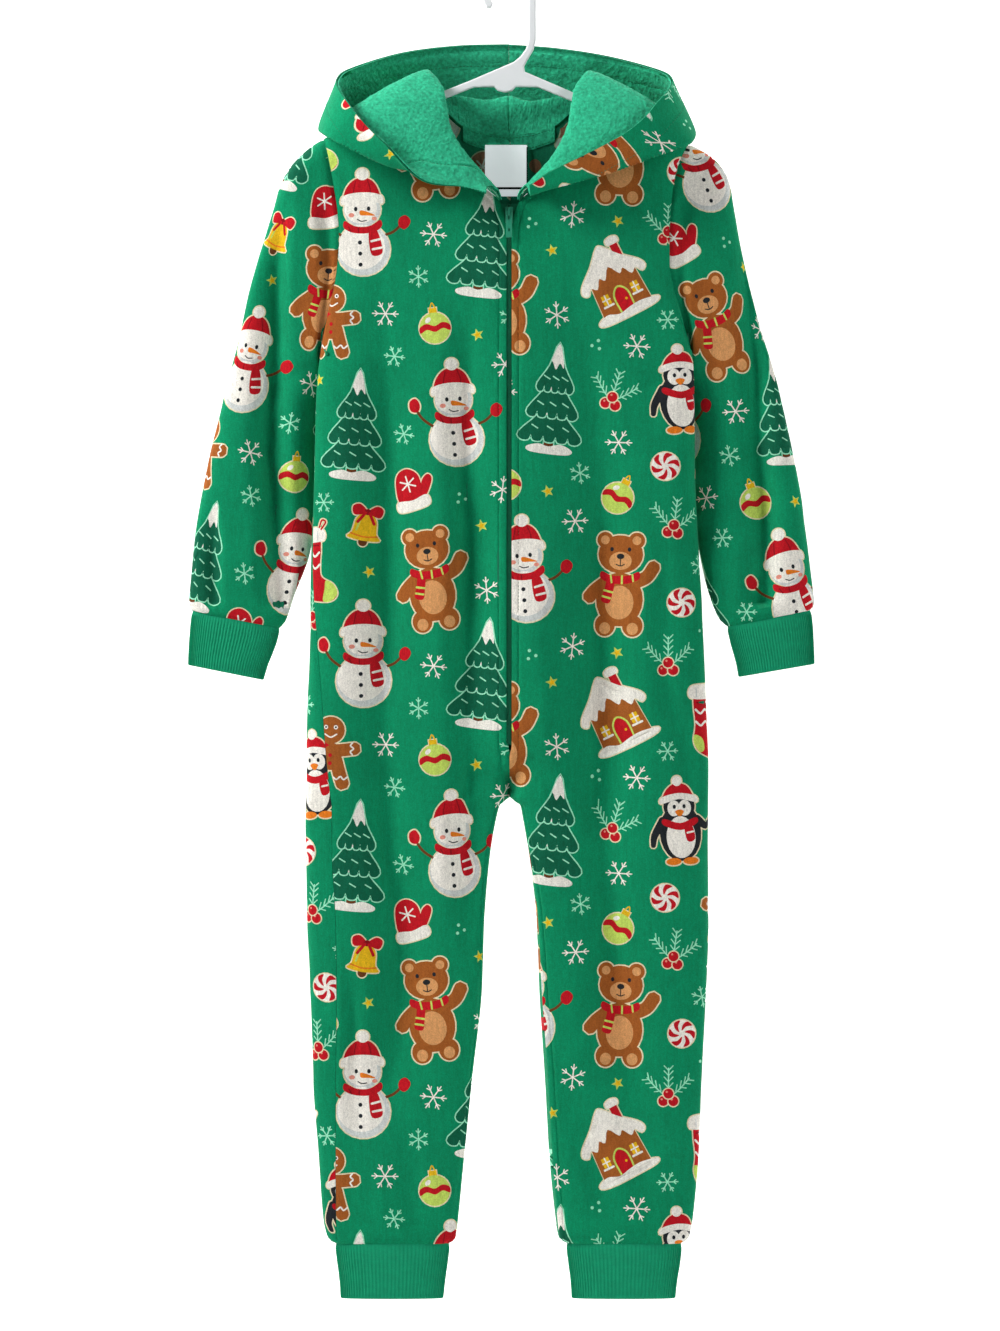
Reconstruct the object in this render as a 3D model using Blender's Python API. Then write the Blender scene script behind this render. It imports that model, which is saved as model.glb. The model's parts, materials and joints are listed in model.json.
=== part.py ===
import bpy
import bmesh
import numpy as np
from math import cos, pi, radians, sin

# A child's hooded one-piece pajama of printed fleece on a plastic hanger.
# Tables are in millimetres: x grows toward the wearer's left from a plumb line,
# drop grows downward from a level, y grows toward the back.
MM = 0.001
ZIP_X = 509.0          # the zip's line in the tables' x
ROD_DROP = -27.0       # the inner crown of the hook in the tables' drop
WALL = 2.0             # fleece of the body and sleeves
HOOD_WALL = 1.3        # each layer of the hood
RIB_WALL = 2.4         # doubled rib knit of the cuffs
SEAM = 0.36            # between pieces that are sewn together
BODY_POWER = 3.2       # how boxy the body's section is
RIDGE_ROWS = 0.9       # rows over which the shoulder rounds over
ZIP_HALF_GAP = 2.4     # between the zip's line and each front edge
LABEL_WIDTH = 43.0
LABEL_TOP = 144.0
LABEL_END = 195.0

for old in list(bpy.data.objects):
    bpy.data.objects.remove(old, do_unlink=True)

BODY_COLUMNS = ("front_x", "front_drop", "back_x", "back_drop", "out_x", "out_drop",
                "depth", "in_edge", "side_wrap", "inseam_wrap")
# One row per level: the inner line runs down the neck, zip, crotch and inseam, the outer
# line down the armhole, side and outseam. in_edge is the inner line's share of the depth.
RIGHT_ROWS = (
    (433.0, 88, 433.0, 88, 323.0, 139, 19, 1, 0, 0),
    (436.0, 108, 447.0, 114, 328.0, 162, 20, 1, 0, 0),
    (443.0, 134, 470.0, 131, 333.0, 187, 22, 1, 0, 0),
    (456.0, 160, 508.8, 139, 337.0, 213, 24, 1, 0, 0),
    (478.0, 185, 508.8, 163, 338.5, 238, 25, 1, 0, 0),
    (500.0, 204, 508.8, 192, 337.0, 263, 26, 1, 0, 0),
    (506.6, 232, 508.8, 224, 333.5, 288, 27, 1, 0, 0),
    (506.6, 272, 508.8, 267, 326.5, 318, 27, 1, 0, 0),
    (506.6, 330, 508.8, 330, 320.0, 353, 27, 1, 0, 0),
    (506.6, 398, 508.8, 398, 316.0, 398, 27, 1, 0, 0),
    (506.6, 478, 508.8, 478, 314.0, 478, 27, 1, 3, 0),
    (506.6, 560, 508.8, 560, 311.5, 560, 26, 1, 7, 0),
    (506.6, 640, 508.8, 640, 310.0, 640, 26, 1, 16, 0),
    (506.6, 700, 508.8, 700, 307.0, 700, 25, 1, 24, 0),
    (506.6, 745, 508.8, 745, 306.0, 745, 24, 0.92, 28, 0),
    (508.8, 757, 508.8, 757, 306.0, 757, 24, 0.72, 29, 0),
    (508.8, 778, 508.8, 780, 306.0, 780, 23, 0.36, 31, 0),
    (508.4, 797, 508.4, 797, 306.0, 797, 23, 0.10, 33, 0),
    (500.0, 805, 500.0, 805, 306.0, 806, 22, 0.0, 34, 0),
    (496.0, 820, 496.0, 820, 306.0, 820, 22, 0.0, 34, 0),
    (490.0, 856, 490.0, 856, 306.5, 856, 22, 0.0, 34, 0),
    (484.5, 920, 484.5, 920, 307.5, 920, 21, 0.0, 36, 0),
    (482.0, 990, 482.0, 990, 310.0, 990, 20, 0.0, 34, 0),
    (473.0, 1072, 473.0, 1072, 313.0, 1072, 19, 0.0, 30, 0),
    (464.0, 1160, 464.0, 1160, 318.5, 1160, 18, 0.0, 24, 0),
    (457.5, 1225, 457.5, 1225, 324.0, 1225, 16, 0.0, 18, 0),
    (455.5, 1238, 455.5, 1238, 328.0, 1238, 15, 0.0, 14, 0),
    (450.0, 1243.5, 450.0, 1243.5, 335.0, 1243.5, 13, 0.0, 10, 0),
)
LEFT_ROWS = (
    (583.0, 90, 583.0, 90, 689.0, 144, 19, 1, 0, 0),
    (580.0, 110, 570.0, 115, 680.0, 164, 20, 1, 0, 0),
    (573.0, 136, 547.0, 131, 674.0, 189, 22, 1, 0, 0),
    (560.0, 162, 509.2, 139, 671.0, 214, 24, 1, 0, 0),
    (540.0, 186, 509.2, 163, 670.0, 239, 25, 1, 0, 0),
    (519.0, 204, 509.2, 192, 670.0, 264, 26, 1, 0, 0),
    (511.4, 232, 509.2, 224, 674.5, 290, 27, 1, 0, 0),
    (511.4, 272, 509.2, 267, 683.0, 319, 27, 1, 0, 0),
    (511.4, 330, 509.2, 330, 690.0, 353, 27, 1, 0, 0),
    (511.4, 398, 509.2, 398, 693.0, 398, 27, 1, 0, 0),
    (511.4, 478, 509.2, 478, 695.0, 478, 27, 1, 0, 0),
    (511.4, 560, 509.2, 560, 699.0, 560, 26, 1, -2, 0),
    (511.4, 640, 509.2, 640, 703.5, 640, 26, 1, -3, 0),
    (511.4, 700, 509.2, 700, 706.0, 700, 25, 1, -4, 0),
    (511.4, 745, 509.2, 745, 707.5, 745, 24, 0.92, -4, 0),
    (509.2, 757, 509.2, 757, 708.0, 757, 24, 0.72, -4, 0),
    (509.2, 778, 509.2, 780, 708.0, 780, 23, 0.36, -4, 0),
    (509.6, 797, 509.6, 797, 708.0, 797, 23, 0.10, -4, 0),
    (520.0, 805, 520.0, 805, 708.0, 806, 22, 0.0, -4, 1),
    (523.0, 820, 523.0, 820, 708.0, 820, 22, 0.0, -4, 2),
    (529.0, 856, 529.0, 856, 707.5, 856, 22, 0.0, -4, 4),
    (536.5, 920, 536.5, 920, 707.0, 920, 21, 0.0, -4, 6),
    (539.0, 990, 539.0, 990, 704.5, 990, 20, 0.0, -4, 8),
    (544.0, 1072, 544.0, 1072, 702.0, 1072, 19, 0.0, -4, 9),
    (549.0, 1160, 549.0, 1160, 698.0, 1160, 18, 0.0, -4, 9),
    (556.0, 1225, 556.0, 1225, 691.5, 1225, 16, 0.0, -4, 6),
    (559.0, 1238, 559.0, 1238, 688.0, 1238, 15, 0.0, -4, 4),
    (566.0, 1243.5, 566.0, 1243.5, 682.0, 1243.5, 13, 0.0, -4, 3),
)
BODY_ROWS = {"right": RIGHT_ROWS, "left": LEFT_ROWS}
UNDERARM_ROW = 8.0
ARMHOLE_SHARE = 0.66   # of the depth, at the armhole's widest

# Soft folds hang from the chest and hips: a positive height stands out of the panel.
FOLD_COLUMNS = ("top_x", "top_drop", "end_x", "end_drop", "width", "height")
FRONT_FOLDS = (
    (366, 250, 352, 1060, 15, 4.5), (396, 300, 394, 1050, 15, -4.0), (440, 330, 436, 740, 16, 4.0),
    (470, 330, 468, 760, 14, -3.5), (554, 400, 556, 840, 16, 4.0), (596, 380, 596, 860, 17, -4.0),
    (648, 250, 652, 1120, 18, 3.0), (420, 960, 418, 1225, 16, 3.5), (575, 860, 590, 1200, 13, 3.0),
    (620, 960, 622, 1225, 14, -3.0), (338, 1080, 344, 1225, 9, -2.0),
)
BACK_FOLDS = (
    (372, 300, 360, 1080, 17, 4.0), (412, 330, 404, 1060, 16, -3.5), (455, 300, 450, 760, 17, 4.0),
    (560, 290, 566, 790, 18, 4.0), (606, 340, 612, 1100, 16, -4.0), (650, 260, 656, 1080, 17, 3.5),
    (430, 900, 428, 1220, 15, -2.5), (580, 880, 590, 1220, 14, 3.0),
)

SLEEVE_COLUMNS = ("out_x", "out_drop", "in_x", "in_drop", "depth", "out_y", "in_y", "armhole")
# One row per ring from the armhole to the cuff; the last one turns in to meet the cuff.
RIGHT_SLEEVE = (
    (323.0, 139, 320.0, 353, 16, 0, 0, 1.0),
    (303.0, 153, 318.4, 358, 17, 1, 2, 0.86),
    (284.0, 176, 317.0, 366, 18, 2, 5, 0.70),
    (271.0, 212, 315.8, 377, 18, 3, 9, 0.52),
    (258.5, 254, 315.6, 390, 18, 4, 13, 0.36),
    (248.0, 294, 316.2, 406, 18, 5, 17, 0.22),
    (239.0, 336, 317.0, 425, 18, 5, 19, 0.11),
    (228.0, 380, 317.2, 448, 18, 5, 20, 0.04),
    (216.0, 434, 316.8, 478, 18, 5, 19, 0.0),
    (203.0, 492, 315.4, 518, 17, 5, 17, 0.0),
    (193.5, 548, 310.0, 554, 17, 5, 12, 0.0),
    (189.5, 585, 296.0, 592, 16, 5, 8, 0.0),
    (188.0, 604, 285.5, 622, 15, 5, 6, 0.0),
    (191.5, 611.5, 280.0, 628.5, 13, 5, 5, 0.0),
)
LEFT_SLEEVE = (
    (689.0, 144, 690.0, 353, 16, 0, 0, 1.0),
    (708.0, 154, 691.6, 358, 17, 1, 2, 0.86),
    (726.0, 174, 693.0, 366, 18, 2, 5, 0.70),
    (737.0, 215, 694.0, 377, 18, 3, 9, 0.52),
    (748.5, 258, 694.0, 390, 18, 4, 13, 0.36),
    (757.5, 297, 693.2, 406, 18, 5, 17, 0.22),
    (766.0, 336, 692.6, 425, 18, 5, 19, 0.11),
    (777.0, 380, 692.4, 448, 18, 5, 20, 0.04),
    (788.0, 434, 692.8, 478, 18, 5, 19, 0.0),
    (798.5, 492, 694.6, 518, 17, 5, 17, 0.0),
    (807.0, 548, 699.5, 554, 17, 5, 12, 0.0),
    (812.5, 585, 708.0, 592, 16, 5, 8, 0.0),
    (815.0, 603, 719.5, 620, 15, 5, 6, 0.0),
    (811.5, 610.5, 727.0, 627.0, 13, 5, 5, 0.0),
)
SLEEVES = {"right": RIGHT_SLEEVE, "left": LEFT_SLEEVE}
SLEEVE_FOLDS = (
    (304, 190, 290, 560, 11, -4.5), (272, 300, 250, 560, 12, 3.0), (262, 380, 262, 560, 9, -3.0),
    (712, 250, 706, 560, 12, -5.0), (742, 250, 742, 560, 13, 2.5), (782, 440, 776, 590, 10, -3.0),
)

CUFF_COLUMNS = ("first_x", "first_drop", "last_x", "last_drop", "depth", "y")
CUFFS = {
    "sleeve_cuff_right": ((191.7, 611.9, 279.8, 628.9, 12.8, 5), (190.0, 630, 275.0, 646, 12.4, 5),
                          (188.6, 650, 267.5, 665, 12.2, 5), (188.0, 665, 263.0, 680, 12.0, 5)),
    "sleeve_cuff_left": ((727.2, 627.4, 811.3, 610.9, 12.8, 5), (731.5, 645, 813.0, 629, 12.4, 5),
                         (736.5, 663, 814.0, 650, 12.2, 5), (739.0, 677, 814.5, 664, 12.0, 5)),
    "leg_cuff_right": ((335.2, 1243.9, 449.8, 1243.9, 12.8, 0), (337.5, 1262, 447.5, 1262, 12.5, 0),
                       (339.8, 1280, 445.0, 1280, 12.2, 0), (341.0, 1298, 443.0, 1298, 12.0, 0)),
    "leg_cuff_left": ((566.2, 1243.9, 681.8, 1243.9, 12.8, 0), (568.5, 1262, 680.0, 1262, 12.5, 0),
                      (570.8, 1280, 677.0, 1280, 12.2, 0), (572.0, 1298, 675.0, 1298, 12.0, 0)),
}

# The hood lies open. Each row is a station from the zip round to the centre back: the body's
# row that its neck seam meets (negative on the back), then x, drop, y of each line.
HOOD_LINES = ("rise", "crest", "slope", "foot", "outside", "rim")
HOOD_GAP = 0.5         # between the hood's two layers
RIGHT_HOOD = (
    (5.0, (499, 197, -31), (493, 190, -36), (488, 190, -42), (486, 192, -47),
     (486, 194.5, -50), (486.5, 197, -52)),
    (4.1, (481, 177, -30), (475, 171, -39), (469, 175, -45), (466, 181, -49),
     (465, 186, -51), (465, 191, -52)),
    (3.0, (460, 154, -29), (459, 151, -39), (445, 159, -46), (433, 168, -50),
     (427, 176.5, -54), (423, 185, -62)),
    (2.0, (448, 129, -26), (447, 132, -36), (423, 145, -45), (401, 160, -46),
     (389, 170, -57), (388, 151, -69)),
    (1.0, (443, 104, -21), (442, 110, -30), (410, 125, -40), (372, 143, -47),
     (352, 153, -54), (366, 129, -60)),
    (0.35, (439, 89, -14), (438, 90, -20), (399, 103, -30), (356, 124, -38),
     (331, 141, -44), (351, 110, -50)),
    (0.0, (431, 79, -1), (425, 72, -4), (391, 88, -12), (350, 113, -20),
     (321.5, 133, -22), (340, 92, -32)),
    (-0.35, (437, 87, 12), (431, 79, 14), (399, 96, 15), (356, 122, 16),
     (322.5, 129, 10), (338.5, 79, -8)),
    (-1.0, (447, 99, 21), (444, 93, 28), (425, 125, 37), (385, 170, 43),
     (345, 122, 46), (351.5, 67, 14)),
    (-2.0, (469, 108, 27), (467, 98, 33), (461, 150, 42), (448, 212, 50),
     (415, 132, 70), (400, 50, 32)),
    (-2.5, (489, 111, 28), (488, 101, 34), (486, 160, 43), (482, 224, 53),
     (462, 134, 76), (455, 41.5, 43)),
    (-3.0, (508.7, 110, 29), (508.7, 97, 35), (508.7, 163, 43), (508.7, 228, 54),
     (508.7, 134, 78), (508.7, 39.5, 47)),
)
LEFT_HOOD = (
    (5.0, (519, 197, -31), (525, 190, -36), (528, 192, -41), (529, 197, -46),
     (530, 198, -52), (529, 190, -56)),
    (4.1, (537, 178, -30), (547, 175, -39), (550, 179, -44), (552, 187, -48),
     (553, 191, -54), (551, 176, -59)),
    (3.0, (556, 156, -29), (560, 154, -39), (570, 164, -46), (580, 175, -51),
     (586, 183.0, -57), (584, 160, -62)),
    (2.0, (568, 131, -26), (571, 135, -36), (594, 147, -45), (615, 162, -50),
     (623, 171.5, -57), (620, 141, -62)),
    (1.0, (573, 106, -21), (577, 111, -30), (607, 126, -39), (640, 145, -46),
     (659, 158.0, -54), (642, 124, -60)),
    (0.35, (577, 91, -14), (580, 91, -20), (616, 104, -29), (660, 129, -37),
     (686, 148.0, -44), (655, 108, -50)),
    (0.0, (585, 81, -1), (591, 73, -4), (625, 89, -12), (666, 114, -20),
     (693.5, 138, -22), (668, 92, -32)),
    (-0.35, (579, 89, 12), (585, 80, 14), (617, 97, 15), (660, 122, 16),
     (691.5, 131, 10), (671, 80, -8)),
    (-1.0, (569, 100, 21), (572, 94, 28), (591, 125, 37), (631, 170, 43),
     (671, 124, 46), (659, 69, 14)),
    (-2.0, (547, 109, 27), (549, 99, 33), (555, 150, 42), (568, 212, 50),
     (601, 132, 70), (612, 54, 32)),
    (-2.5, (528, 112, 28), (529, 102, 34), (531, 160, 43), (534, 224, 53),
     (554, 134, 76), (560, 44.3, 43)),
    (-3.0, (509.3, 110, 29), (509.3, 97, 35), (509.3, 163, 43), (509.3, 228, 54),
     (509.3, 134, 78), (509.3, 39.8, 47)),
)
HOODS = {"right": RIGHT_HOOD, "left": LEFT_HOOD}

HANGER_HALF = 3.6      # half of the moulding's depth
HOOK_RADIUS = 19.5     # inside of the hook
HOOK_WIDTH = 7.5


def millimetres(points):
    """Points of x, drop, y in millimetres as places in metres."""
    points = np.asarray(points, float)
    return np.stack([(points[..., 0] - ZIP_X) * MM, points[..., 2] * MM,
                     (ROD_DROP - points[..., 1]) * MM], -1)


def smooth(values):
    """A monotone cubic through values at 0, 1, 2 ... as a function."""
    v = np.asarray(values, float)
    d = np.diff(v, axis=0)
    m = np.zeros_like(v)
    both = d[:-1] * d[1:]
    total = np.where(both > 0, d[:-1] + d[1:], 1.0)
    m[1:-1] = np.where(both > 0, 2 * both / total, 0.0)
    m[0] = d[0]
    m[-1] = d[-1]

    def at(q):
        i = int(min(max(q, 0.0), len(v) - 1.000001))
        t = q - i
        a = v[i] * (2 * t ** 3 - 3 * t ** 2 + 1) + m[i] * (t ** 3 - 2 * t ** 2 + t)
        return a + v[i + 1] * (3 * t ** 2 - 2 * t ** 3) + m[i + 1] * (t ** 3 - t ** 2)
    return at


def catmull(points):
    """A curve through points at 0, 1, 2 ... that may turn back, as a function."""
    v = np.asarray(points, float)
    ends = np.concatenate([[2 * v[0] - v[1]], v, [2 * v[-1] - v[-2]]])

    def at(q):
        i = int(min(max(q, 0.0), len(v) - 1.000001))
        t = q - i
        a, b, c, d = ends[i], ends[i + 1], ends[i + 2], ends[i + 3]
        return 0.5 * (2 * b + (c - a) * t + (2 * a - 5 * b + 4 * c - d) * t ** 2
                      + (3 * b - a - 3 * c + d) * t ** 3)
    return at


COLUMN = {name: k for k, name in enumerate(BODY_COLUMNS)}
BODY = {side: smooth(rows) for side, rows in BODY_ROWS.items()}
SLEEVE = {side: smooth(rows) for side, rows in SLEEVES.items()}


def eased(value):
    value = np.clip(value, 0.0, 1.0)
    return value * value * (3 - 2 * value)


def fold_height(folds, x, drop):
    """How far the folds stand out at x, drop."""
    height = np.zeros_like(x)
    for top_x, top_drop, end_x, end_drop, width, tall in folds:
        along = (drop - top_drop) / (end_drop - top_drop)
        middle = top_x + (end_x - top_x) * along + 3.0 * np.sin(6.0 * along + top_x)
        fade = eased(along / 0.25) * eased((1 - along) / 0.2)
        height += tall * fade * np.exp(-((x - middle) / width) ** 2)
    return height


def half_ring(side, r, face):
    """One face of the body at row r, from the outline in to the inner line."""
    row = dict(zip(BODY_COLUMNS, BODY[side](r)))
    inner = ("front_x", "front_drop") if face < 0 else ("back_x", "back_drop")
    u = 0.5 + 0.5 * np.cos(np.linspace(0, pi, 61))
    x = row[inner[0]] + (row["out_x"] - row[inner[0]]) * u
    drop = row[inner[1]] + (row["out_drop"] - row[inner[1]]) * u
    n = BODY_POWER
    out_edge = ARMHOLE_SHARE * max(1 - (r / UNDERARM_ROW) ** 3, 0.0) ** 0.5
    outer = np.maximum(1 - (1 - out_edge ** n) * u ** n, 0) ** (1 / n)
    inward = np.maximum(1 - (1 - max(row["in_edge"], 0) ** n) * (1 - u) ** n, 0) ** (1 / n)
    ridge = (1 - (1 - min(r / RIDGE_ROWS, 1.0)) ** 2) ** 0.5
    y = row["depth"] * ridge * outer * inward
    clear_in = eased((np.abs(x - row[inner[0]]) - 15) / 22)
    clear_out = eased((np.abs(x - row["out_x"]) - 4) / 16)
    folds = FRONT_FOLDS if face < 0 else BACK_FOLDS
    y = y + fold_height(folds, x, drop) * clear_in * clear_out * min(r / 3.0, 1.0)
    y = y + SEAM / 2 * max(1 - r / 2, 0.0)
    points = np.stack([x, drop, face * y], -1)
    length = np.concatenate([[0], np.cumsum(np.linalg.norm(np.diff(points, axis=0), axis=1))])
    return points, length, row


def walk(points, length, along):
    return np.stack([np.interp(along, length, points[:, k]) for k in range(3)], -1)


def body_points(side, r, along):
    """Places at distances along the ring from the outline: to the front positive."""
    front, front_length, row = half_ring(side, r, -1)
    back, back_length, row = half_ring(side, r, 1)
    along = np.asarray(along, float)
    on_front = walk(front, front_length, along)
    past_front = walk(back, back_length, back_length[-1] - (along - front_length[-1]))
    on_back = walk(back, back_length, -along)
    past_back = walk(front, front_length, front_length[-1] - (-along - back_length[-1]))
    out = np.where((along >= 0)[:, None], on_front, on_back)
    out = np.where((along > front_length[-1])[:, None], past_front, out)
    return np.where((-along > back_length[-1])[:, None], past_back, out)


def body_span(side, r, face):
    """Where a panel starts and ends along the ring at row r."""
    front, front_length, row = half_ring(side, r, -1)
    back, back_length, row = half_ring(side, r, 1)
    gap = SEAM / 2
    if face < 0:
        return row["side_wrap"] + gap, front_length[-1] - row["inseam_wrap"] - gap
    return row["side_wrap"] - gap, -back_length[-1] - row["inseam_wrap"] + gap


def stretched(side, r, other, along):
    """The distances along another row that match along at row r."""
    share = [half_ring(side, other, way)[1][-1] / half_ring(side, r, way)[1][-1]
             for way in (-1, 1)]
    return np.where(along >= 0, along * share[0], along * share[1])


def panel_along(side, r, face):
    """Distances along the ring at which a panel has its columns at row r."""
    first, end = body_span(side, r, face)
    lengths = [half_ring(side, r, way)[1][-1] for way in (-1, 1)]
    if face < 0:
        near = max(first, 0.0)
        far = min(end, lengths[0])
    else:
        near = min(first, 0.0)
        far = max(end, -lengths[1])
    along = near + (far - near) * COLUMN_STEPS
    if (side, face) in WRAPS_SIDE:
        along = np.concatenate([first + (near - first) * WRAP_STEPS[:-1], along])
    if (side, face) in WRAPS_INSEAM:
        along = np.concatenate([along, far + (end - far) * WRAP_STEPS[1:]])
    return along


def body_grid(side, rows, face):
    """A panel's outer points and outward normals."""
    places = []
    normals = []
    last = len(BODY_ROWS[side]) - 1
    for r in rows:
        along = panel_along(side, r, face)
        step = 0.0004 + 0.015 * min(r, 1.0)
        low = max(r - step, 0.0)
        high = min(r + step, last)
        down = (body_points(side, high, stretched(side, r, high, along))
                - body_points(side, low, stretched(side, r, low, along)))
        ends = np.array([half_ring(side, r, 1)[1][-1], half_ring(side, r, -1)[1][-1]])
        ends += 0.0 if BODY[side](r)[COLUMN["in_edge"]] > 0.02 else 50.0
        ahead = np.clip(along + 0.4, -ends[0], ends[1])
        behind = np.clip(along - 0.4, -ends[0], ends[1])
        here = body_points(side, r, along)
        across = body_points(side, r, ahead) - body_points(side, r, behind)
        normal = np.cross(across, down)
        normal /= np.maximum(np.linalg.norm(normal, axis=1), 1e-9)[:, None]
        places.append(here)
        normals.append(normal)
    places = np.array(places)
    normals = np.array(normals)
    middle = normals[len(rows) // 2, normals.shape[1] // 2]
    if middle[2] * face < 0:
        normals = -normals
    return places, normals


def bisected(points, axis, closed):
    """The directions of a grid's lines at its points, each side weighing the same."""
    step = np.roll(points, -1, axis=axis) - points
    step /= np.maximum(np.linalg.norm(step, axis=2), 1e-9)[..., None]
    before = np.roll(step, 1, axis=axis)
    if not closed:
        first = [slice(None)] * 2
        last = [slice(None)] * 2
        first[axis] = 0
        last[axis] = -1
        before[tuple(first)] = step[tuple(first)]
        step[tuple(last)] = before[tuple(last)]
    return step + before


def grid_normals(points, closed=False):
    """Unit normals of a grid of points; a closed grid runs round a tube."""
    normals = np.cross(bisected(points, 0, False), bisected(points, 1, closed))
    return normals / np.maximum(np.linalg.norm(normals, axis=2), 1e-9)[..., None]


def material(name, colour, roughness=0.9):
    made = bpy.data.materials.new(name)
    made.use_nodes = True
    shader = made.node_tree.nodes["Principled BSDF"]
    shader.inputs["Base Color"].default_value = (*colour, 1)
    shader.inputs["Roughness"].default_value = roughness
    return made


def finish(name, made, colour, roughness=0.9, flat=False):
    """Turns a bmesh into a named object with its own material."""
    bmesh.ops.remove_doubles(made, verts=made.verts, dist=0.00002)
    bmesh.ops.recalc_face_normals(made, faces=made.faces)
    mesh = bpy.data.meshes.new(name)
    made.to_mesh(mesh)
    made.free()
    if not flat:
        mesh.shade_smooth()
        mesh.set_sharp_from_angle(angle=radians(50))
    thing = bpy.data.objects.new(name, mesh)
    bpy.context.collection.objects.link(thing)
    mesh.materials.append(material(name + "_material", colour, roughness))
    return thing


def shell(name, outer, inner, colour, closed=False):
    """A closed wall between two grids of points; closed grids run round a tube."""
    made = bmesh.new()
    layers = [[[made.verts.new(p) for p in row] for row in millimetres(grid)]
              for grid in (outer, inner)]
    rows, columns = outer.shape[:2]
    spans = columns if closed else columns - 1
    for i in range(rows - 1):
        for j in range(spans):
            k = (j + 1) % columns
            for grid in layers:
                made.faces.new((grid[i][j], grid[i + 1][j], grid[i + 1][k]))
                made.faces.new((grid[i][j], grid[i + 1][k], grid[i][k]))
    top, low = layers
    for i in (0, rows - 1):
        for j in range(spans):
            k = (j + 1) % columns
            made.faces.new((top[i][j], top[i][k], low[i][k], low[i][j]))
    if not closed:
        for j in (0, columns - 1):
            for i in range(rows - 1):
                made.faces.new((top[i][j], top[i + 1][j], low[i + 1][j], low[i][j]))
    return finish(name, made, colour)


GREEN = (0.010, 0.250, 0.110)
RIB_GREEN = (0.012, 0.290, 0.150)
PILE_GREEN = (0.030, 0.320, 0.180)
WHITE = (0.85, 0.87, 0.88)

ROW_STEPS = np.array([0, 0.05, 0.2, 0.5, 0.95, 1.6, 2.1, 2.55, 3, 3.6, 4.3, 5, 6, 7, 7.6, 8, 9.5, 11, 13, 14,
                      15, 16, 17, 18, 19, 21, 22.5, 24, 25.3, 26, 27])
COLUMN_STEPS = np.array([0, 0.03, 0.1, 0.2, 0.31, 0.42, 0.53, 0.64, 0.75, 0.87, 0.96, 1.0])
WRAP_STEPS = np.array([0, 0.45, 0.8, 1.0])
WRAPS_SIDE = {("right", 1), ("left", -1)}
WRAPS_INSEAM = {("left", 1)}

for side in ("right", "left"):
    for face, word in ((-1, "front"), (1, "back")):
        points, normals = body_grid(side, ROW_STEPS, face)
        shell(f"{word}_{side}", points, points - normals * WALL, GREEN)


def armhole(side, face, count=41):
    """The body's armhole edge from the underarm up to the shoulder, by length."""
    rows = np.linspace(UNDERARM_ROW, 0.0, 161)
    edge = np.array([half_ring(side, r, face)[0][0] for r in rows])
    length = np.concatenate([[0], np.cumsum(np.linalg.norm(np.diff(edge, axis=0), axis=1))])
    return walk(edge, length / length[-1], np.linspace(0, 1, count))


ARMHOLES = {(side, face): armhole(side, face) for side in SLEEVES for face in (-1, 1)}


def sleeve_turns(side):
    """Where once round a sleeve the body's rows meet it."""
    turns = []
    for face in (-1, 1):
        rows = np.linspace(UNDERARM_ROW, 0.0, 161)
        edge = np.array([half_ring(side, r, face)[0][0] for r in rows])
        length = np.concatenate([[0], np.cumsum(np.linalg.norm(np.diff(edge, axis=0), axis=1))])
        share = np.interp(-ROW_STEPS[ROW_STEPS <= UNDERARM_ROW], -rows, length / length[-1])
        turns.append(share[(share > 0.001) & (share < 0.999)] / 2)
    return np.concatenate([[0.0], turns[0][::-1], [0.5], 1 - turns[1]])


def sleeve_point(side, s, w):
    """A sleeve's outer surface at ring s, w once round from the underarm by the front."""
    row = dict(zip(SLEEVE_COLUMNS, SLEEVE[side](s)))
    w = w % 1.0
    face = -1 if w < 0.5 else 1
    u = 2 * w if w < 0.5 else 2 - 2 * w
    arm = ARMHOLES[(side, face)]
    edge = np.array([np.interp(u, np.linspace(0, 1, len(arm)), arm[:, k]) for k in range(3)])
    straight = arm[0] + (arm[-1] - arm[0]) * u
    v = 0.5 - 0.5 * cos(pi * u)
    spread = u + (v - u) * (1 - row["armhole"])
    x = row["in_x"] + (row["out_x"] - row["in_x"]) * spread
    drop = row["in_drop"] + (row["out_drop"] - row["in_drop"]) * spread
    x += (edge[0] - straight[0]) * row["armhole"]
    drop += (edge[1] - straight[1]) * row["armhole"]
    oval = max(1 - abs(2 * spread - 1) ** 2.4, 0) ** (1 / 2.4)
    middle = row["in_y"] + (row["out_y"] - row["in_y"]) * spread
    height = fold_height(SLEEVE_FOLDS, np.array([x]), np.array([drop]))[0]
    own = middle + face * (row["depth"] * oval + height * min(oval * 1.3, 1.0))
    y = own + (edge[2] - own) * row["armhole"] ** 1.5
    return np.array([x, drop, y])


SLEEVE_STEPS = np.array([0, 0.6, 1.6, 2.8, 4, 5.5, 7, 8.6, 10, 11, 12, 13])

for side in SLEEVES:
    around = sleeve_turns(side)
    points = np.array([[sleeve_point(side, s, w) for w in around] for s in SLEEVE_STEPS])
    away = points[1] - points[0]
    away /= np.maximum(np.linalg.norm(away, axis=1), 0.01)[:, None]
    points[0] += away * 2 * SEAM
    normals = grid_normals(points, True)
    if normals[8, 6, 2] > 0:
        normals = -normals
    shell(f"sleeve_{side}", points, points - normals * WALL, GREEN, closed=True)


def oval_rings(rows, count, power=2.4):
    """Flat oval rings between the two ends that each row names."""
    rings = []
    for first_x, first_drop, last_x, last_drop, depth, y in rows:
        ring = []
        for j in range(count):
            turn = 2 * pi * j / count
            across = 0.5 + 0.5 * cos(turn)
            tall = abs(sin(turn)) ** (2 / power) * (1 if sin(turn) > 0 else -1)
            ring.append((first_x + (last_x - first_x) * across,
                         first_drop + (last_drop - first_drop) * across, y + depth * tall))
        rings.append(ring)
    return np.array(rings)


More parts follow.
